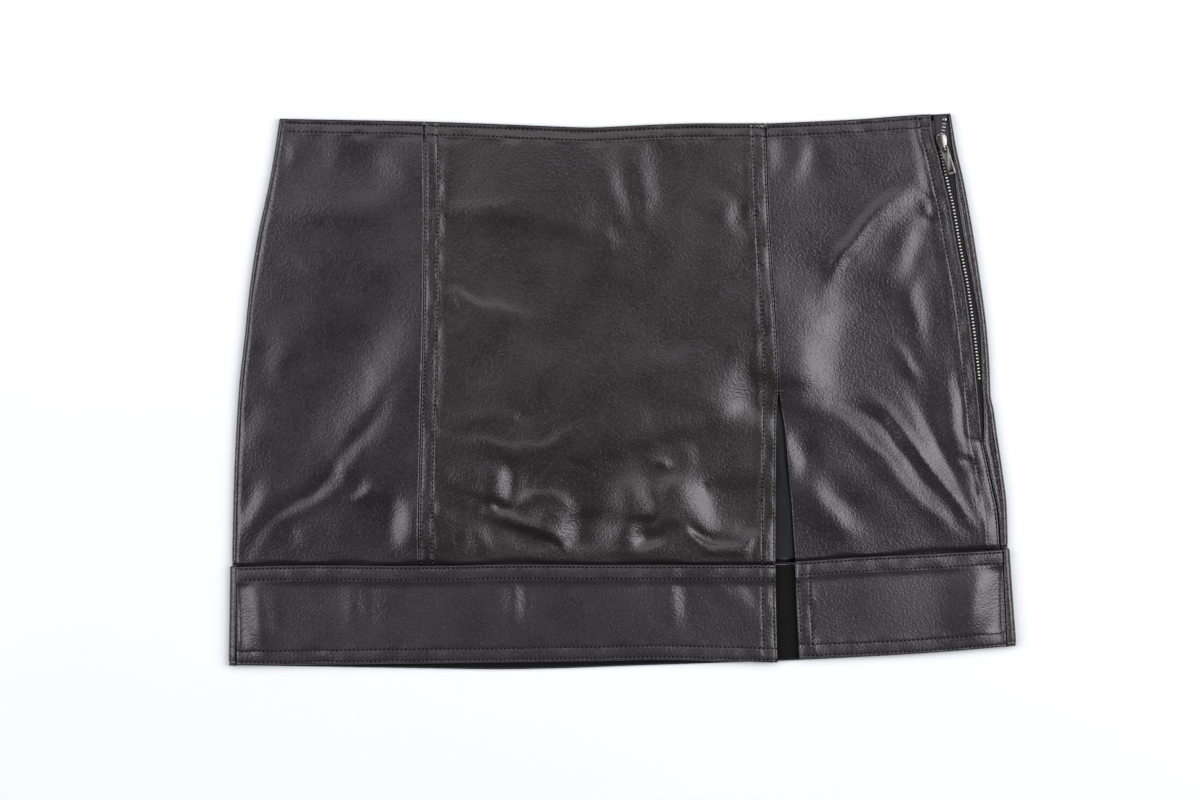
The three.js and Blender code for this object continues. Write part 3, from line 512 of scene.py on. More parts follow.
# Broad faces of the folds. Each tilts to one side: up and down across its width.
FRONT_SWELLS = [
    # Left panel
    dict(at=(-149, 1), wide=24, long=44, turn=-33, tilt=-0.14),
    dict(at=(-138, -22), wide=11, long=22, turn=-33, tilt=-0.06),
    dict(at=(-163, -37), wide=8, long=14, turn=-33, tilt=-0.12),
    dict(at=(-150, -56), wide=8, long=8, turn=-40, tilt=-0.14),
    dict(at=(-129, -76), wide=11, long=13, turn=0, tilt=-0.27),
    dict(at=(-214, -67), wide=8, long=14, turn=-25, tilt=-0.18),
    dict(at=(-213, -20), wide=8, long=14, turn=-20, tilt=-0.09),
    dict(at=(-203, 18), wide=9, long=14, turn=-15, tilt=-0.06),
    dict(at=(-134, 127), wide=17, long=15, turn=5, tilt=-0.09),
    dict(at=(-171, 137), wide=9, long=9, turn=0, tilt=-0.06),
    dict(at=(-194, 137), wide=5, long=7, turn=0, tilt=-0.14),
    dict(at=(-188, -84), wide=7, long=6, turn=0, tilt=-0.09),
    # Centre panel
    dict(at=(-71, -53), wide=9, long=10, turn=5, tilt=0.28),
    dict(at=(-31, -78), wide=15, long=10, turn=-15, tilt=0.29),
    dict(at=(-52, 0), wide=22, long=18, turn=-30, tilt=0.09),
    dict(at=(-61, -14), wide=5, long=3, turn=0, tilt=0.15),
    dict(at=(-99, -72), wide=8, long=12, turn=0, tilt=0.1),
    dict(at=(-80, -85), wide=7, long=9, turn=37, tilt=0.17),
    dict(at=(-96, -87), wide=6, long=5, turn=-20, tilt=0.13),
    dict(at=(12, -62), wide=10, long=12, turn=15, tilt=0.36),
    dict(at=(7, -83), wide=9, long=7, turn=0, tilt=0.3),
    dict(at=(-90, -60), wide=9, long=12, turn=65, tilt=-0.22),
    dict(at=(45, -66), wide=28, long=14, turn=-5, tilt=0.25),
    dict(at=(65, 1), wide=26, long=14, turn=-12, tilt=0.26),
    dict(at=(71, 22), wide=12, long=15, turn=-10, tilt=0.14),
    dict(at=(40, -38), wide=6, long=9, turn=0, tilt=0.1),
    dict(at=(14, -15), wide=6, long=7, turn=0, tilt=0.09),
    dict(at=(68, -79), wide=7, long=5, turn=0, tilt=0.14),
    dict(at=(25, -83), wide=7, long=4, turn=0, tilt=0.09),
    dict(at=(-1, 115), wide=9, long=22, turn=9, tilt=0.14),
    dict(at=(-6, 90), wide=6, long=7, turn=25, tilt=0.12),
    dict(at=(16, 122), wide=11, long=22, turn=12, tilt=0.14),
    dict(at=(14, 103), wide=6, long=8, turn=5, tilt=0.08),
    dict(at=(63, 103), wide=11, long=7, turn=-30, tilt=0.14),
    # Right panel
    dict(at=(118, 26), wide=40, long=32, turn=-6, tilt=0.2),
    dict(at=(107, 20), wide=12, long=15, turn=15, tilt=0.07),
    dict(at=(165, 80), wide=7, long=17, turn=-22, tilt=0.16),
    dict(at=(174, 45), wide=7, long=19, turn=8, tilt=0.19),
    dict(at=(196, -14), wide=7.5, long=23, turn=8, tilt=0.27),
    dict(at=(206, -62), wide=6.5, long=24, turn=18, tilt=0.2),
    dict(at=(100, -36), wide=8, long=13, turn=8, tilt=0.22),
    dict(at=(126, -68), wide=9, long=20, turn=40, tilt=0.2),
    dict(at=(89, 138), wide=8, long=12, turn=5, tilt=0.17),
    dict(at=(104, 133), wide=9, long=12, turn=-10, tilt=0.17),
    dict(at=(178, 107), wide=4, long=5, turn=0, tilt=0.2),
    dict(at=(180, 141), wide=3, long=7, turn=15, tilt=0.12),
    dict(at=(189, 78), wide=4, long=20, turn=10, tilt=0.15),
]


def swell_height(swells, x, y):
    total = np.zeros(np.broadcast(x, y).shape)
    for swell in swells:
        turn = math.radians(swell["turn"])
        ax, ay = x - swell["at"][0], y - swell["at"][1]
        u = ax * math.cos(turn) + ay * math.sin(turn)
        v = ay * math.cos(turn) - ax * math.sin(turn)
        total -= swell["tilt"] * u * np.exp(-((u / swell["wide"]) ** 2) - np.abs(v / swell["long"]) ** 3)
    return total


def band_top(x):
    return np.where(x < 95, along(LONG_BAND_TOP, x), along(SHORT_BAND_TOP, x))


def front_height(x, y):
    """Upper face of the front panels over the table, in millimetres."""
    drawn_x = x + 1.5 * rumple(x, y, 14, 1) + 0.8 * rumple(x, y, 6, 2)
    drawn_y = y + 1.5 * rumple(x, y, 14, 3) + 0.8 * rumple(x, y, 6, 4)
    waves = 0.45 * rumple(x, y, 36, 5) + 0.22 * rumple(x, y, 15, 6) + 0.05 * rumple(x, y, 6.5, 7)
    rise = crease_height(FRONT_CREASES, drawn_x, drawn_y) + swell_height(FRONT_SWELLS, drawn_x, drawn_y)
    rise += waves
    ridge = HIGHEST_RIDGE * np.tanh(rise / HIGHEST_RIDGE)
    trough = DEEPEST_TROUGH * np.tanh(rise / DEEPEST_TROUGH)
    height = FRONT_TOP + np.where(rise > 0, ridge, trough)
    uneven = rumple(x, y, 14, 8)
    height = SIDE_TOP + (height - SIDE_TOP) * ease(-1, 1.8 + 0.8 * uneven, x - along(LEFT_SEAM, y))
    from_right = along(ZIP_EDGE, y) - x
    beside_zip = ease(-33, -24, y)
    edge = SIDE_TOP + ZIP_EDGE_RISE * beside_zip
    start = -1 + 9 * beside_zip
    height = edge + (height - edge) * ease(start, start + 5.5 + 2 * uneven, from_right)
    height = WAIST_TOP + (height - WAIST_TOP) * ease(2, 12 + 3 * uneven, along(FRONT_WAIST, x) - y)
    return UNDER_BAND_TOP + (height - UNDER_BAND_TOP) * ease(0, 2.4 + 1.6 * uneven, y - band_top(x))


def stitch_groove(distance, x, y):
    """A stitch row pulls the leather down a little, and puckers it to both sides."""
    puckers = 0.3 * rumple(x, y, 5, 11) * np.exp(-((distance / 2.4) ** 2))
    return puckers - 0.2 * np.exp(-((distance / 0.5) ** 2))


WAIST_ROWS = (2.6, 7.6)
PRINCESS_ROWS = (1.3, STRIP_WIDTH - 0.6)


def panel_height(x, y):
    from_waist = along(FRONT_WAIST, x) - y
    pulled = sum(stitch_groove(from_waist - row, x, y) for row in WAIST_ROWS)
    turned = 0.25 * (1 - ease(8.4, 9.6, from_waist)) * ease(0, 1, from_waist)
    return front_height(x, y) + pulled + turned


def centre_height(x, y):
    away = np.minimum(x - along(LEFT_PRINCESS, y), along(RIGHT_PRINCESS_CENTRE, y) - x)
    strip = STRIP_RISE * (0.6 + 0.4 * ease(0, 1, away)) * (1 - ease(STRIP_WIDTH - 1, STRIP_WIDTH + 5, away))
    above_band = y - along(LONG_BAND_TOP, x)
    strip *= ease(0.2, 1.6, above_band) * (0.4 + 0.6 * ease(0, 10, along(FRONT_WAIST, x) - y))
    pulled = sum(stitch_groove(away - row, x, y) for row in PRINCESS_ROWS) * ease(0, 4, above_band)
    return panel_height(x, y) + strip + pulled


ZIP_ROW = 7.0
SEAM_ROW = 1.6


def right_height(x, y):
    away = along(ZIP_EDGE, y) - x
    pulled = stitch_groove(away - ZIP_ROW, x, y) + stitch_groove(away - SEAM_ROW, x, y) * ease(-24, -32, y)
    turned = 0.3 * (1 - ease(8, 10.5, away)) * ease(0, 1, away) + 0.3 * np.exp(-(((away - 0.9) / 0.7) ** 2))
    return panel_height(x, y) + (pulled + turned) * ease(0, 4, y - band_top(x))


def laid_piece(name, sides, ends, height, thickness, rows, columns):
    """A flat-laid wall of leather between four edges, rounded at each."""
    left, right = sides
    top, bottom = ends
    middle_y = top(np.array(0.0)) + (bottom(np.array(0.0)) - top(np.array(0.0))) * rows
    x = left(middle_y)[:, None] + (right(middle_y) - left(middle_y))[:, None] * columns[None, :]
    for _ in range(2):
        y = top(x) + (bottom(x) - top(x)) * rows[:, None]
        x = left(y) + (right(y) - left(y)) * columns[None, :]
    z = height(x, y)
    thick = thickness(x, y)
    edge = np.minimum(np.minimum(x - left(y), right(y) - x), np.minimum(top(x) - y, y - bottom(x)))
    round_over = 0.3 + 0.7 * np.sqrt(1 - (1 - np.clip(edge / 0.9, 0, 1)) ** 2)
    upper = np.stack([x, y, z - thick / 2 * (1 - round_over)], 2)
    lower = np.stack([x, y, z - thick / 2 * (1 + round_over)], 2)
    return wall_mesh(name, upper, lower)


def front_thickness(x, y):
    doubled = 1 - ease(9, 11, along(FRONT_WAIST, x) - y)
    return LEATHER + (TURNED_EDGE - LEATHER) * doubled


def centre_thickness(x, y):
    return front_thickness(x, y) + centre_height(x, y) - panel_height(x, y)


def right_thickness(x, y):
    doubled = 1 - ease(10, 12, along(ZIP_EDGE, y) - x)
    beside_zip = ease(-34, -28, y) * (1 - ease(140, 150, y))
    return front_thickness(x, y) + (TURNED_EDGE - LEATHER) * doubled * beside_zip


ROUND_EDGE = [0, 0.12, 0.35, 0.7, 1.1]
waist_edge = ROUND_EDGE + [1.9, 2.3, 2.6, 2.9, 3.4, 4.6, 6, 7, 7.3, 7.6, 7.9, 8.4, 9, 9.6]
panel_rows = spacing(waist_edge, [0, 1, 7.6, 8, 9, 10], 1.6, 260)
front_waist = line_of(FRONT_WAIST)


def under_band(x):
    return band_top(x) - BAND_LAP


def left_side(y):
    return np.where(y > -100.5, along(LEFT_SEAM, y) + SEAM_GAP, -223.5)


def right_side(y):
    return np.where(y > -92.5, along(ZIP_EDGE, y) - SEAM_GAP, 218.6)


front_left = laid_piece(
    "front_left_panel_leather", (left_side, line_of(LEFT_PRINCESS, -SEAM_GAP)),
    (front_waist, under_band), panel_height, front_thickness, panel_rows,
    spacing(ROUND_EDGE, ROUND_EDGE, 1.6, 103),
)
strip_edge = ROUND_EDGE + [1.5, 2, 3.5, 5.5, 7.3, 7.6, 7.9, 8.2, 8.5, 8.9, 9.3, 9.8]
front_centre = laid_piece(
    "front_centre_panel_leather",
    (line_of(LEFT_PRINCESS, SEAM_GAP), line_of(RIGHT_PRINCESS_CENTRE, -SEAM_GAP)),
    (front_waist, under_band), centre_height, centre_thickness, panel_rows,
    spacing(strip_edge, strip_edge, 1.6, 205),
)
zip_side_edge = ROUND_EDGE + [1.6, 2.1, 3.5, 5.5, 6.6, 7, 7.4, 8.2, 9, 10, 10.7]
front_right = laid_piece(
    "front_right_panel_leather", (line_of(RIGHT_PRINCESS_SIDE, SEAM_GAP), right_side),
    (front_waist, under_band), right_height, right_thickness, panel_rows,
    spacing(ROUND_EDGE, zip_side_edge, 1.6, 105),
)
warm_leather = nappa("centre_leather", (0.0090, 0.0070, 0.0078), (0.0137, 0.0110, 0.0118))
rest_on(front_left, leather, "front_left_panel", ["back_panel_leather"])
rest_on(front_centre, warm_leather, "front_centre_panel", ["back_panel_leather"])
rest_on(front_right, leather, "front_right_panel", ["back_panel_leather"])


# The hem band is three lengths of doubled leather: a long and a short one in
# front, parted by the slit, and one right across the back. Each laps over the
# panels' lower edge, and is held by twin rows of stitches all round.
BAND = 2.2
LAP_TOP = 7.0
LONG_BAND_BOTTOM = [
    (-224, -159), (-178, -158.4), (-117, -157.8), (-71, -157.2), (-13, -156.4), (19, -155.7), (48, -156.2),
    (90, -157.4),
]
SHORT_BAND_BOTTOM = [(102, -155.1), (152, -153.2), (186, -151.1), (223, -148)]
BACK_BAND_BOTTOM = [
    (-228.8, -159.2), (-181, -159.8), (-117, -160.8), (-71, -161.4), (-36, -160.8), (2, -159.4),
    (40, -158.2), (89, -156.6), (152, -153.6), (185, -151.4), (228.8, -147.6),
]
BAND_LEFT_FOLD = [(-101, -227.9), (-159, -228.8)]
BAND_LEFT_SEAM = [(-101, -224.1), (-159, -224.1)]
BAND_RIGHT_FOLD = [(-90.7, 224.7), (-121, 226.8), (-147.6, 228.8)]
BAND_RIGHT_SEAM = [(-91, 220.3), (-121, 221.6), (-148, 222.9)]
LONG_BAND_END = [(-100, 88.8), (-113.5, 89), (-157, 90)]
SHORT_BAND_END = [(-98, 100), (-113.5, 100.4), (-136.7, 101.4), (-155, 102.4)]
BAND_CREASES = [
    dict(path=[(-210, -108), (-207, -150)], left=7, right=9, rise=1.0),
    dict(path=[(-155, -118), (-152, -135)], left=5, right=7, rise=0.3),
    dict(path=[(-180, -120), (-172, -148)], left=12, right=12, rise=0.3),
    dict(path=[(-61, -110), (-62, -133)], left=4, right=6, rise=0.45),
    dict(path=[(-57, -133), (-50, -148)], left=8, right=8, rise=0.3),
    dict(path=[(29, -108), (31, -135)], left=5, right=5, rise=0.35),
    dict(path=[(52, -107), (66, -125)], left=4, right=5, rise=0.5),
    dict(path=[(150, -105), (155, -140)], left=24, right=20, rise=0.4),
    dict(path=[(211, -98), (208, -143)], left=9, right=9, rise=1.1),
]
BAND_SWELLS = [
    dict(at=(-217, -131), wide=9, long=20, turn=6, tilt=-0.25),
    dict(at=(-152, -124), wide=7, long=14, turn=0, tilt=0.14),
    dict(at=(-60, -122), wide=6, long=13, turn=0, tilt=0.16),
    dict(at=(32, -120), wide=7, long=15, turn=5, tilt=0.14),
    dict(at=(72, -118), wide=6, long=8, turn=35, tilt=0.12),
    dict(at=(211, -123), wide=14, long=21, turn=-5, tilt=0.28),
]
BAND_ROWS = (1.7, 8.1)


def front_band(name, top, bottom, left, right, length, double_end):
    """One length of the band, its fold and stitch rows, and its height over the table."""
    edge_top, edge_bottom, edge_left, edge_right = map(line_of, (top, bottom, left, right))

    def height(x, y):
        from_top, from_bottom = edge_top(x) - y, y - edge_bottom(x)
        from_left, from_right = x - edge_left(y), edge_right(y) - x
        ends = ease(-2, 9, from_left) * ease(-2, 9, from_right)
        folds = 0.7 * crease_height(BAND_CREASES, x, y) + swell_height(BAND_SWELLS, x, y)
        folds = (folds + 0.16 * rumple(x, y, 22, 9)) * ease(0, 3, from_left) * ease(0, 3, from_right)
        lap = LAP_TOP - 0.3 * (1 - ends) + 0.25 * folds
        lying = FRONT_TOP - 0.3 * (1 - ends) + folds * ease(2, 12, from_bottom)
        z = lap + (lying - lap) * ease(BAND_LAP + 0.4, BAND_LAP + 4, from_top)
        rows = [from_top - row for row in BAND_ROWS] + [from_bottom - row for row in BAND_ROWS]
        from_slit = from_right if double_end == "right" else from_left
        rows += [from_slit - row for row in BAND_ROWS]
        return z + sum(stitch_groove(row, x, y) for row in rows)

    def thickness(x, y):
        in_lap = 1 - ease(BAND_LAP + 0.8, BAND_LAP + 4, edge_top(x) - y)
        return BAND + (height(x, y) - 4.8 - BAND) * in_lap

    around = ROUND_EDGE + [1.4, 1.7, 2, 2.6, 4.5, 7, 7.8, 8.1, 8.4, 9.2, 10.4]
    return laid_piece(
        name, (edge_left, edge_right), (edge_top, edge_bottom), height, thickness,
        spacing(around, around, 1.8, 57), spacing(around, around, 1.8, length),
    ), height


long_band, long_band_height = front_band(
    "front_long_band_leather", LONG_BAND_TOP, LONG_BAND_BOTTOM,
    [(y, x + SEAM_GAP) for y, x in BAND_LEFT_SEAM], LONG_BAND_END, 313, "right",
)
short_band, short_band_height = front_band(
    "front_short_band_leather", SHORT_BAND_TOP, SHORT_BAND_BOTTOM,
    SHORT_BAND_END, [(y, x - SEAM_GAP) for y, x in BAND_RIGHT_SEAM], 121, "left",
)
back_band = folded_back(
    "back_band_leather",
    line_of(BAND_LEFT_FOLD), line_of(BAND_LEFT_SEAM, -SEAM_GAP),
    line_of(BAND_RIGHT_FOLD), line_of(BAND_RIGHT_SEAM, SEAM_GAP),
    line_of(BACK_BAND_TOP, -SEAM_GAP), line_of(BACK_BAND_BOTTOM),
    (BAND / 2, 2.1, 4.5, 2.8), spacing([0, 0.3, 0.8], [0.8, 0.3, 0], 3, 57), -101,
)
band_leather = nappa("band_leather", (0.0195, 0.0172, 0.0208), (0.0255, 0.0228, 0.0272))
rest_on(long_band, band_leather, "front_long_band", ["back_band_leather"])
rest_on(short_band, band_leather, "front_short_band", ["back_band_leather"])
rest_on(back_band, band_leather, "back_band", [])


# The zip tapes are woven black cotton, sewn under the turned edge of the front
# and under the folded strip of the back. They are seen only in the narrow trench
# beside the teeth and above the slider.
TAPE_UNDERSIDE = 2.3
TAPE_TOP = 3.1


def zip_strip(name, from_y, to_y, left, right):
    y = np.linspace(from_y, to_y, int(abs(from_y - to_y) / 2.5))[:, None]
    x = left(y) + (right(y) - left(y)) * np.linspace(0, 1, 7)[None, :]
    y = np.broadcast_to(y, x.shape)
    flat = np.ones(x.shape)
    return wall_mesh(name, np.stack([x, y, flat * TAPE_TOP], 2), np.stack([x, y, flat * TAPE_UNDERSIDE], 2))


def inside_fold(y):
    return np.minimum(along(BACK_STRIP, y) + 3, along(RIGHT_FOLD, y) - 1.9)


zip_edge = line_of(ZIP_EDGE)
tape_front = zip_strip("zip_tape_front_weave", 157, -32, line_of(ZIP_EDGE, -12), line_of(ZIP_EDGE, 1.3))
tape_back = zip_strip("zip_tape_back_weave", 160.4, -18, line_of(ZIP_EDGE, 1.5), inside_fold)
weave = Finish("zip_tape_weave", Specular_IOR_Level=0.3, Sheen_Weight=0.15)
warp = weave.node("ShaderNodeTexWave", dict(bands_direction="X"), {"Vector": weave.place, "Scale": 260})
weft = weave.node("ShaderNodeTexWave", dict(bands_direction="Y"), {"Vector": weave.place, "Scale": 200})
thread_relief = warp * 0.5 + weft * 0.5
# Painted shade: the tape is painted near black below about 126 mm up the skirt, in the trench beside the
# teeth, and grey above the slider, with the weave's relief mixed in.
up_the_tape = weave.node("ShaderNodeSeparateXYZ", {}, {"Vector": weave.place}, 1)
trench_shade_and_weave = weave.fit(up_the_tape, 0.126, 0.146, 0.1, 0.7) + thread_relief * 0.3
weave.feed(
    Base_Color=weave.blend(trench_shade_and_weave, (0.004, 0.0038, 0.0046), (0.05, 0.047, 0.055)),
    Roughness=weave.fit(thread_relief, 0, 1, 0.95, 0.8),
    Normal=weave.bump(thread_relief, 0.0001, 0.7),
)
for tape, node, flat, area in (
    (tape_front, "zip_tape_front", (0.0135, 0.194), 0.0026),
    (tape_back, "zip_tape_back", (0.011, 0.179), 0.0013),
):
    tape.data.materials.append(weave.material)
    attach(tape, "skirt")
    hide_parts(node)


# Every seam and edge is sewn with black thread in short stitches, in twin rows a quarter inch apart.
# Each stitch lies in the row's groove. After it comes a needle hole that is painted shade: a small
# near-black blob sunk into the leather. The rows are drawn as lines over the leather, and Geometry
# Nodes set the stitches along them.
STITCH_PITCH = 2.5
STITCH_SIZE = (1.5, 0.75, 0.62)
HOLE_SIZE = (1.25, 1.1, 0.34)


def row_object(name, rows):
    points, edges = [], []
    for row in rows:
        start = len(points)
        points += [(x / 1000, y / 1000, z / 1000) for x, y, z in row]
        edges += [(i, i + 1) for i in range(start, len(points) - 1)]
    mesh = bpy.data.meshes.new(name)
    mesh.from_pydata(points, edges, [])
    made = bpy.data.objects.new(name, mesh)
    bpy.context.collection.objects.link(made)
    return made


def set_along(rows_object, pitch, parts):
    """Geometry Nodes: the parts repeated along every row at the pitch, as one plain mesh."""
    tree = bpy.data.node_groups.new(rows_object.name + "_tree", "GeometryNodeTree")
    tree.interface.new_socket("Rows", in_out="INPUT", socket_type="NodeSocketGeometry")
    pitch_socket = tree.interface.new_socket("Pitch", in_out="INPUT", socket_type="NodeSocketFloat")
    tree.interface.new_socket("Mesh", in_out="OUTPUT", socket_type="NodeSocketGeometry")

    def add(kind, settings=None, **inputs):
        made = tree.nodes.new(kind)
        for key, value in (settings or {}).items():
            setattr(made, key, value)
        for key, value in inputs.items():
            socket = made.inputs[key.replace("_", " ")]
            if isinstance(value, bpy.types.NodeSocket):
                tree.links.new(value, socket)
            else:
                socket.default_value = value
        return made

    source = add("NodeGroupInput")
    result = add("NodeGroupOutput")
    curve = add("GeometryNodeMeshToCurve", Mesh=source.outputs["Rows"])
    even = add(
        "GeometryNodeResampleCurve", dict(mode="LENGTH"), Curve=curve.outputs[0],
        Length=source.outputs["Pitch"],
    )
    tangent = add("GeometryNodeInputTangent")
    facing = add("FunctionNodeAlignRotationToVector", dict(axis="X"), Vector=tangent.outputs[0])
    joined = add("GeometryNodeJoinGeometry")
    for size, shift, height, material in parts:
        ball = add("GeometryNodeMeshUVSphere", Segments=8, Rings=6, Radius=0.5)
        placed = add(
            "GeometryNodeTransform", Geometry=ball.outputs[0], Scale=tuple(s / 1000 for s in size),
            Translation=(shift / 1000, 0, height / 1000),
        )
        finished = add("GeometryNodeSetMaterial", Geometry=placed.outputs[0], Material=material)
        tree.links.new(finished.outputs[0], joined.inputs[0])
    spread = add(
        "GeometryNodeInstanceOnPoints", Points=even.outputs[0], Instance=joined.outputs[0],
        Rotation=facing.outputs[0],
    )
    real = add("GeometryNodeRealizeInstances", Geometry=spread.outputs[0])
    soft = add("GeometryNodeSetShadeSmooth", Geometry=real.outputs[0])
    tree.links.new(soft.outputs[0], result.inputs[0])
    modifier = rows_object.modifiers.new("set_along", "NODES")
    modifier.node_group = tree
    modifier[pitch_socket.identifier] = pitch / 1000
    evaluated = rows_object.evaluated_get(bpy.context.evaluated_depsgraph_get())
    mesh = bpy.data.meshes.new_from_object(evaluated)
    rows_object.modifiers.clear()
    rows_object.data = mesh
    return rows_object


thread = Finish("thread", Specular_IOR_Level=0.7)
twist = thread.noise(1.0, 2, 0.5, 0.0, thread.stretched((3000, 900, 900), 0.6))
thread.feed(
    Base_Color=thread.blend(twist, (0.010, 0.0098, 0.0104), (0.024, 0.0235, 0.0245)),
    Roughness=thread.fit(twist, 0, 1, 0.4, 0.6),
    Normal=thread.bump(twist, 0.00006, 0.6),
)
# Painted shade: near-black blobs sunk into the leather after each stitch stand in for the shade inside the
# needle holes.
needle_hole_shade = Finish("needle_hole_shade", Roughness=0.95, Specular_IOR_Level=0.05)
painted_hole_shade = needle_hole_shade.blend(needle_hole_shade.noise(900), (0.0015, 0.0015, 0.0016), (0.003, 0.003, 0.0032))
needle_hole_shade.feed(Base_Color=painted_hole_shade)
OVER_LEATHER = 0.06


def row_points(x, y, height):
    x, y = np.broadcast_arrays(np.array(x, float), np.array(y, float))
    return list(zip(x, y, height(x, y) + OVER_LEATHER))


def across(start, end):
    return np.linspace(start, end, max(6, int(abs(end - start) / 2.5)))


rows = []
for inset in WAIST_ROWS:
    for start, end, height in (
        (-194, -116.5, panel_height), (-114, 81.5, centre_height), (84, 171, right_height),
    ):
        x = across(start, end)
        rows.append(row_points(x, front_waist(x) - inset, height))
for edge, sign in ((LEFT_PRINCESS, 1), (RIGHT_PRINCESS_CENTRE, -1)):
    for inset in PRINCESS_ROWS:
        y = across(148.5, -99.5)
        rows.append(row_points(along(edge, y) + sign * inset, y, centre_height))
y = across(158, -90.5)
rows.append(row_points(zip_edge(y) - ZIP_ROW, y, right_height))
y = across(-30, -90.5)
rows.append(row_points(zip_edge(y) - SEAM_ROW, y, right_height))
for inset in BAND_ROWS:
    x = across(-222, 88)
    rows.append(row_points(x, along(LONG_BAND_TOP, x) - inset, long_band_height))
    rows.append(row_points(x, along(LONG_BAND_BOTTOM, x) + inset, long_band_height))
    y = across(-109, -148)
    rows.append(row_points(along(LONG_BAND_END, y) - inset, y, long_band_height))
    x = across(102.5, 219)
    rows.append(row_points(x, along(SHORT_BAND_TOP, x) - inset, short_band_height))
    x = across(104, 220.5)
    rows.append(row_points(x, along(SHORT_BAND_BOTTOM, x) + inset, short_band_height))
    y = across(-107, -145)
    rows.append(row_points(along(SHORT_BAND_END, y) + inset, y, short_band_height))
front_stitches = set_along(row_object("front_stitches", rows), STITCH_PITCH, [
    (STITCH_SIZE, 0, 0, thread.material), (HOLE_SIZE, STITCH_PITCH / 2, -0.02, needle_hole_shade.material),
])
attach(front_stitches, "skirt")


# Two bar tacks of close thread stitches lock the top of the slit and the foot of the zip. One is
# sewn across the princess seam, and the other across the turned edge beside the zip.
BAR_PITCH = 0.75
BAR_STITCH_SIZE = (0.5, 1.8, 0.5)
slit_bar = row_points(np.linspace(87.8, 90, 4), np.full(4, 0.3), centre_height)
slit_bar += row_points(np.linspace(91.2, 93.2, 4), np.full(4, 0.3), right_height)
zip_bar = row_points(np.linspace(203.6, 208.2, 6), np.full(6, -26.6), right_height)
bar_tacks = set_along(row_object("bar_tacks", [slit_bar, zip_bar]), BAR_PITCH, [
    (BAR_STITCH_SIZE, 0, 0.05, thread.material),
])
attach(bar_tacks, "skirt")


# The back's waist and hem band are sewn with the same twin rows of black thread as the front. The
# stitches are drawn into the underside of the leather, which lies on the table.
def flat_back(x, y):
    return np.full(np.shape(x), -OVER_LEATHER)


rows = []
for inset in BAND_ROWS:
    x = across(-220, 216)
    rows.append(row_points(x, along(BACK_BAND_TOP, x) - inset, flat_back))
    rows.append(row_points(x, along(BACK_BAND_BOTTOM, x) + inset, flat_back))
for inset in WAIST_ROWS:
    x = across(-190, 184)
    rows.append(row_points(x, along(BACK_WAIST, x) - inset, flat_back))
back_stitches = set_along(row_object("back_stitches", rows), STITCH_PITCH, [
    (STITCH_SIZE, 0, 0.1, thread.material), (HOLE_SIZE, STITCH_PITCH / 2, 0.08, needle_hole_shade.material),
])
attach(back_stitches, "skirt")


# The zip's teeth are cast metal in an antique silver, clamped on the tape edges.
# Closed, they show as one row of beads beside the turned edge; above the slider
# the open teeth of the back half fan out towards the stop at the waist.
TOOTH_PITCH = 1.92
TOOTH_SIZE = (1.2, 1.9, 1.2)
TOOTH_HEIGHT = 4.35
OPEN_TOOTH_PITCH = 1.72
OPEN_TOOTH_SIZE = (0.85, 2.9, 1.3)
TOP_STOP_SIZE = (2.6, 3.4, 1.2)


def cast_metal(name, tarnished, bare, gloss):
    metal = Finish(name, Metallic=1.0)
    tarnish = metal.noise(300, 3, 0.5)
    scratches = metal.noise(1.0, 3, 0.6, 0.0, metal.stretched((300, 2400, 600), 0.3))
    return metal.feed(
        Base_Color=metal.blend(metal.fit(tarnish, 0.35, 0.65, 0, 1), tarnished, bare),
        Roughness=metal.fit(scratches, 0.3, 0.7, gloss, gloss + 0.08),
        Normal=metal.bump(scratches, 0.0000015, 0.4),
    )


tooth_metal = cast_metal("zip_tooth_metal", (0.76, 0.755, 0.74), (0.92, 0.915, 0.9), 0.42)
# The slider's and the tab's colours are painted dark, as painted shade.
slider_metal_painted_shade = cast_metal("zip_slider_metal", (0.17, 0.165, 0.16), (0.23, 0.223, 0.215), 0.18)
tab_metal_painted_shade = cast_metal("zip_tab_metal", (0.085, 0.082, 0.08), (0.12, 0.116, 0.112), 0.2)
y = across(139, 7.5)
closed_row = [(x, at, TOOTH_HEIGHT) for x, at in zip(zip_edge(y) + 1.55, y)]
teeth = set_along(row_object("zip_teeth", [closed_row]), TOOTH_PITCH, [
    (TOOTH_SIZE, 0, 0, tooth_metal),
])
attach(teeth, "skirt")
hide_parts("zip_chain")
open_row = [(185.7, 149.6, 4.1), (186.1, 151.4, 4.1), (186.4, 153.2, 4.1), (186.6, 155.2, 4.1)]
open_teeth = set_along(row_object("zip_open_teeth", [open_row]), OPEN_TOOTH_PITCH, [
    (OPEN_TOOTH_SIZE, 0, 0, tooth_metal),
])
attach(open_teeth, "skirt")
top_stop = set_along(row_object("zip_top_stop", [[(186.9, 157.6, 4.1), (186.9, 158, 4.1)]]), 5, [
    (TOP_STOP_SIZE, 0, 0, slider_metal_painted_shade),
])
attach(top_stop, "skirt")
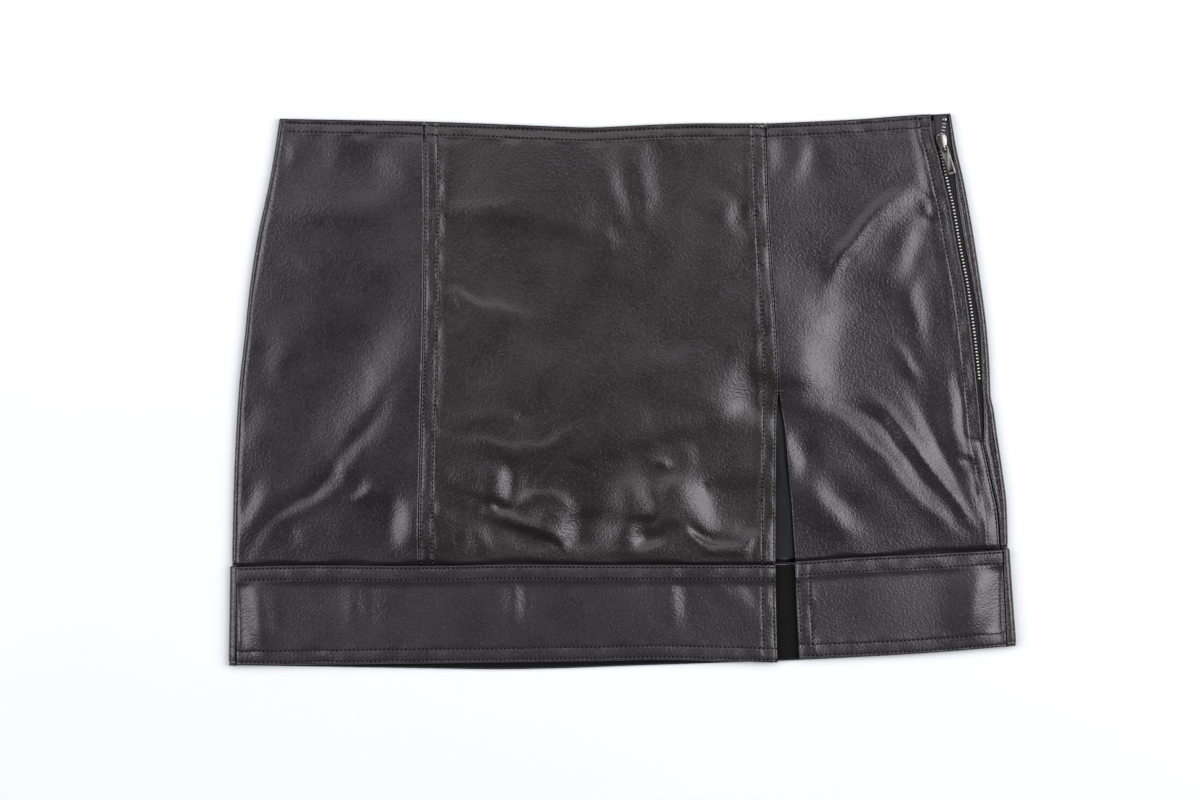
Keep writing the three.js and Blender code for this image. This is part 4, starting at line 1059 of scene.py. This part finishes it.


# The slider and its pull tab are cast in the same metal, but their colour is painted darker than the
# teeth's, and the tab's darker still: painted shade on faces that mirror the dark room. The tab's eye
# hangs round the slider's bail, so the tab turns with its own body. Both keep the solid's form, with
# softened edges.
def softened(node, name, width, metal):
    copy = bpy.data.objects.new(name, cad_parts[node].data.copy())
    bpy.context.collection.objects.link(copy)
    form = bmesh.new()
    form.from_mesh(copy.data)
    bmesh.ops.remove_doubles(form, verts=form.verts, dist=1e-6)
    bmesh.ops.dissolve_limit(form, angle_limit=math.radians(2), verts=form.verts, edges=form.edges)
    form.to_mesh(copy.data)
    form.free()
    soften = copy.modifiers.new("softened", "BEVEL")
    soften.width = width
    soften.segments = 3
    soften.limit_method = "ANGLE"
    soften.angle_limit = math.radians(35)
    evaluated = copy.evaluated_get(bpy.context.evaluated_depsgraph_get())
    mesh = bpy.data.meshes.new_from_object(evaluated)
    copy.modifiers.clear()
    copy.data = mesh
    mesh.shade_smooth()
    mesh.materials.clear()
    mesh.materials.append(metal)
    return copy


slider = softened("zip_slider", "zip_slider_cast", 0.00022, slider_metal_painted_shade)
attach(slider, "skirt")
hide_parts("zip_slider")
pull_tab = softened("zip_pull_tab", "zip_pull_tab_cast", 0.00018, tab_metal_painted_shade)
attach(pull_tab, "pull_tab")
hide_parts("zip_pull_tab")


# The table is a plain near-white sheet, in a room that is dark overhead. A large
# softbox stands at each side, with a softer spill round it, and a weaker one
# stands beyond the waist.
bpy.ops.mesh.primitive_plane_add(size=4, location=(0, 0, -0.0004))
floor = bpy.context.object
floor.name = "floor"
paper = Finish("floor_paper", Roughness=0.9, Specular_IOR_Level=0.1)
paper.feed(Base_Color=paper.blend(paper.noise(2), (0.86, 0.88, 0.92), (0.89, 0.905, 0.94)))
floor.data.materials.append(paper.material)


def softbox(name, place, size, power):
    light = bpy.data.lights.new(name, "AREA")
    light.shape = "RECTANGLE"
    light.size, light.size_y = size
    light.energy = power
    lamp = bpy.data.objects.new(name, light)
    lamp.location = place
    lamp.rotation_euler = (-Vector(place)).to_track_quat("-Z", "Y").to_euler()
    bpy.context.collection.objects.link(lamp)


softbox("left_softbox", (-1.45, 0.1, 1.5), (0.95, 1.6), 20)
softbox("left_spill", (-1.35, 0.1, 1.6), (1.6, 2.1), 5)
softbox("right_softbox", (1.3, 0.1, 1.6), (0.95, 1.6), 26)
softbox("right_spill", (1.3, 0.1, 1.65), (1.7, 2.1), 6)
softbox("waist_softbox", (0, 1.05, 1.7), (2.2, 1.0), 11.5)
world = bpy.data.worlds.new("studio")
world.use_nodes = True
world.node_tree.nodes["Background"].inputs["Color"].default_value = (0.93, 0.96, 1.0, 1)
world.node_tree.nodes["Background"].inputs["Strength"].default_value = 0.09
bpy.context.scene.world = world
bpy.context.scene.view_settings.view_transform = "Standard"
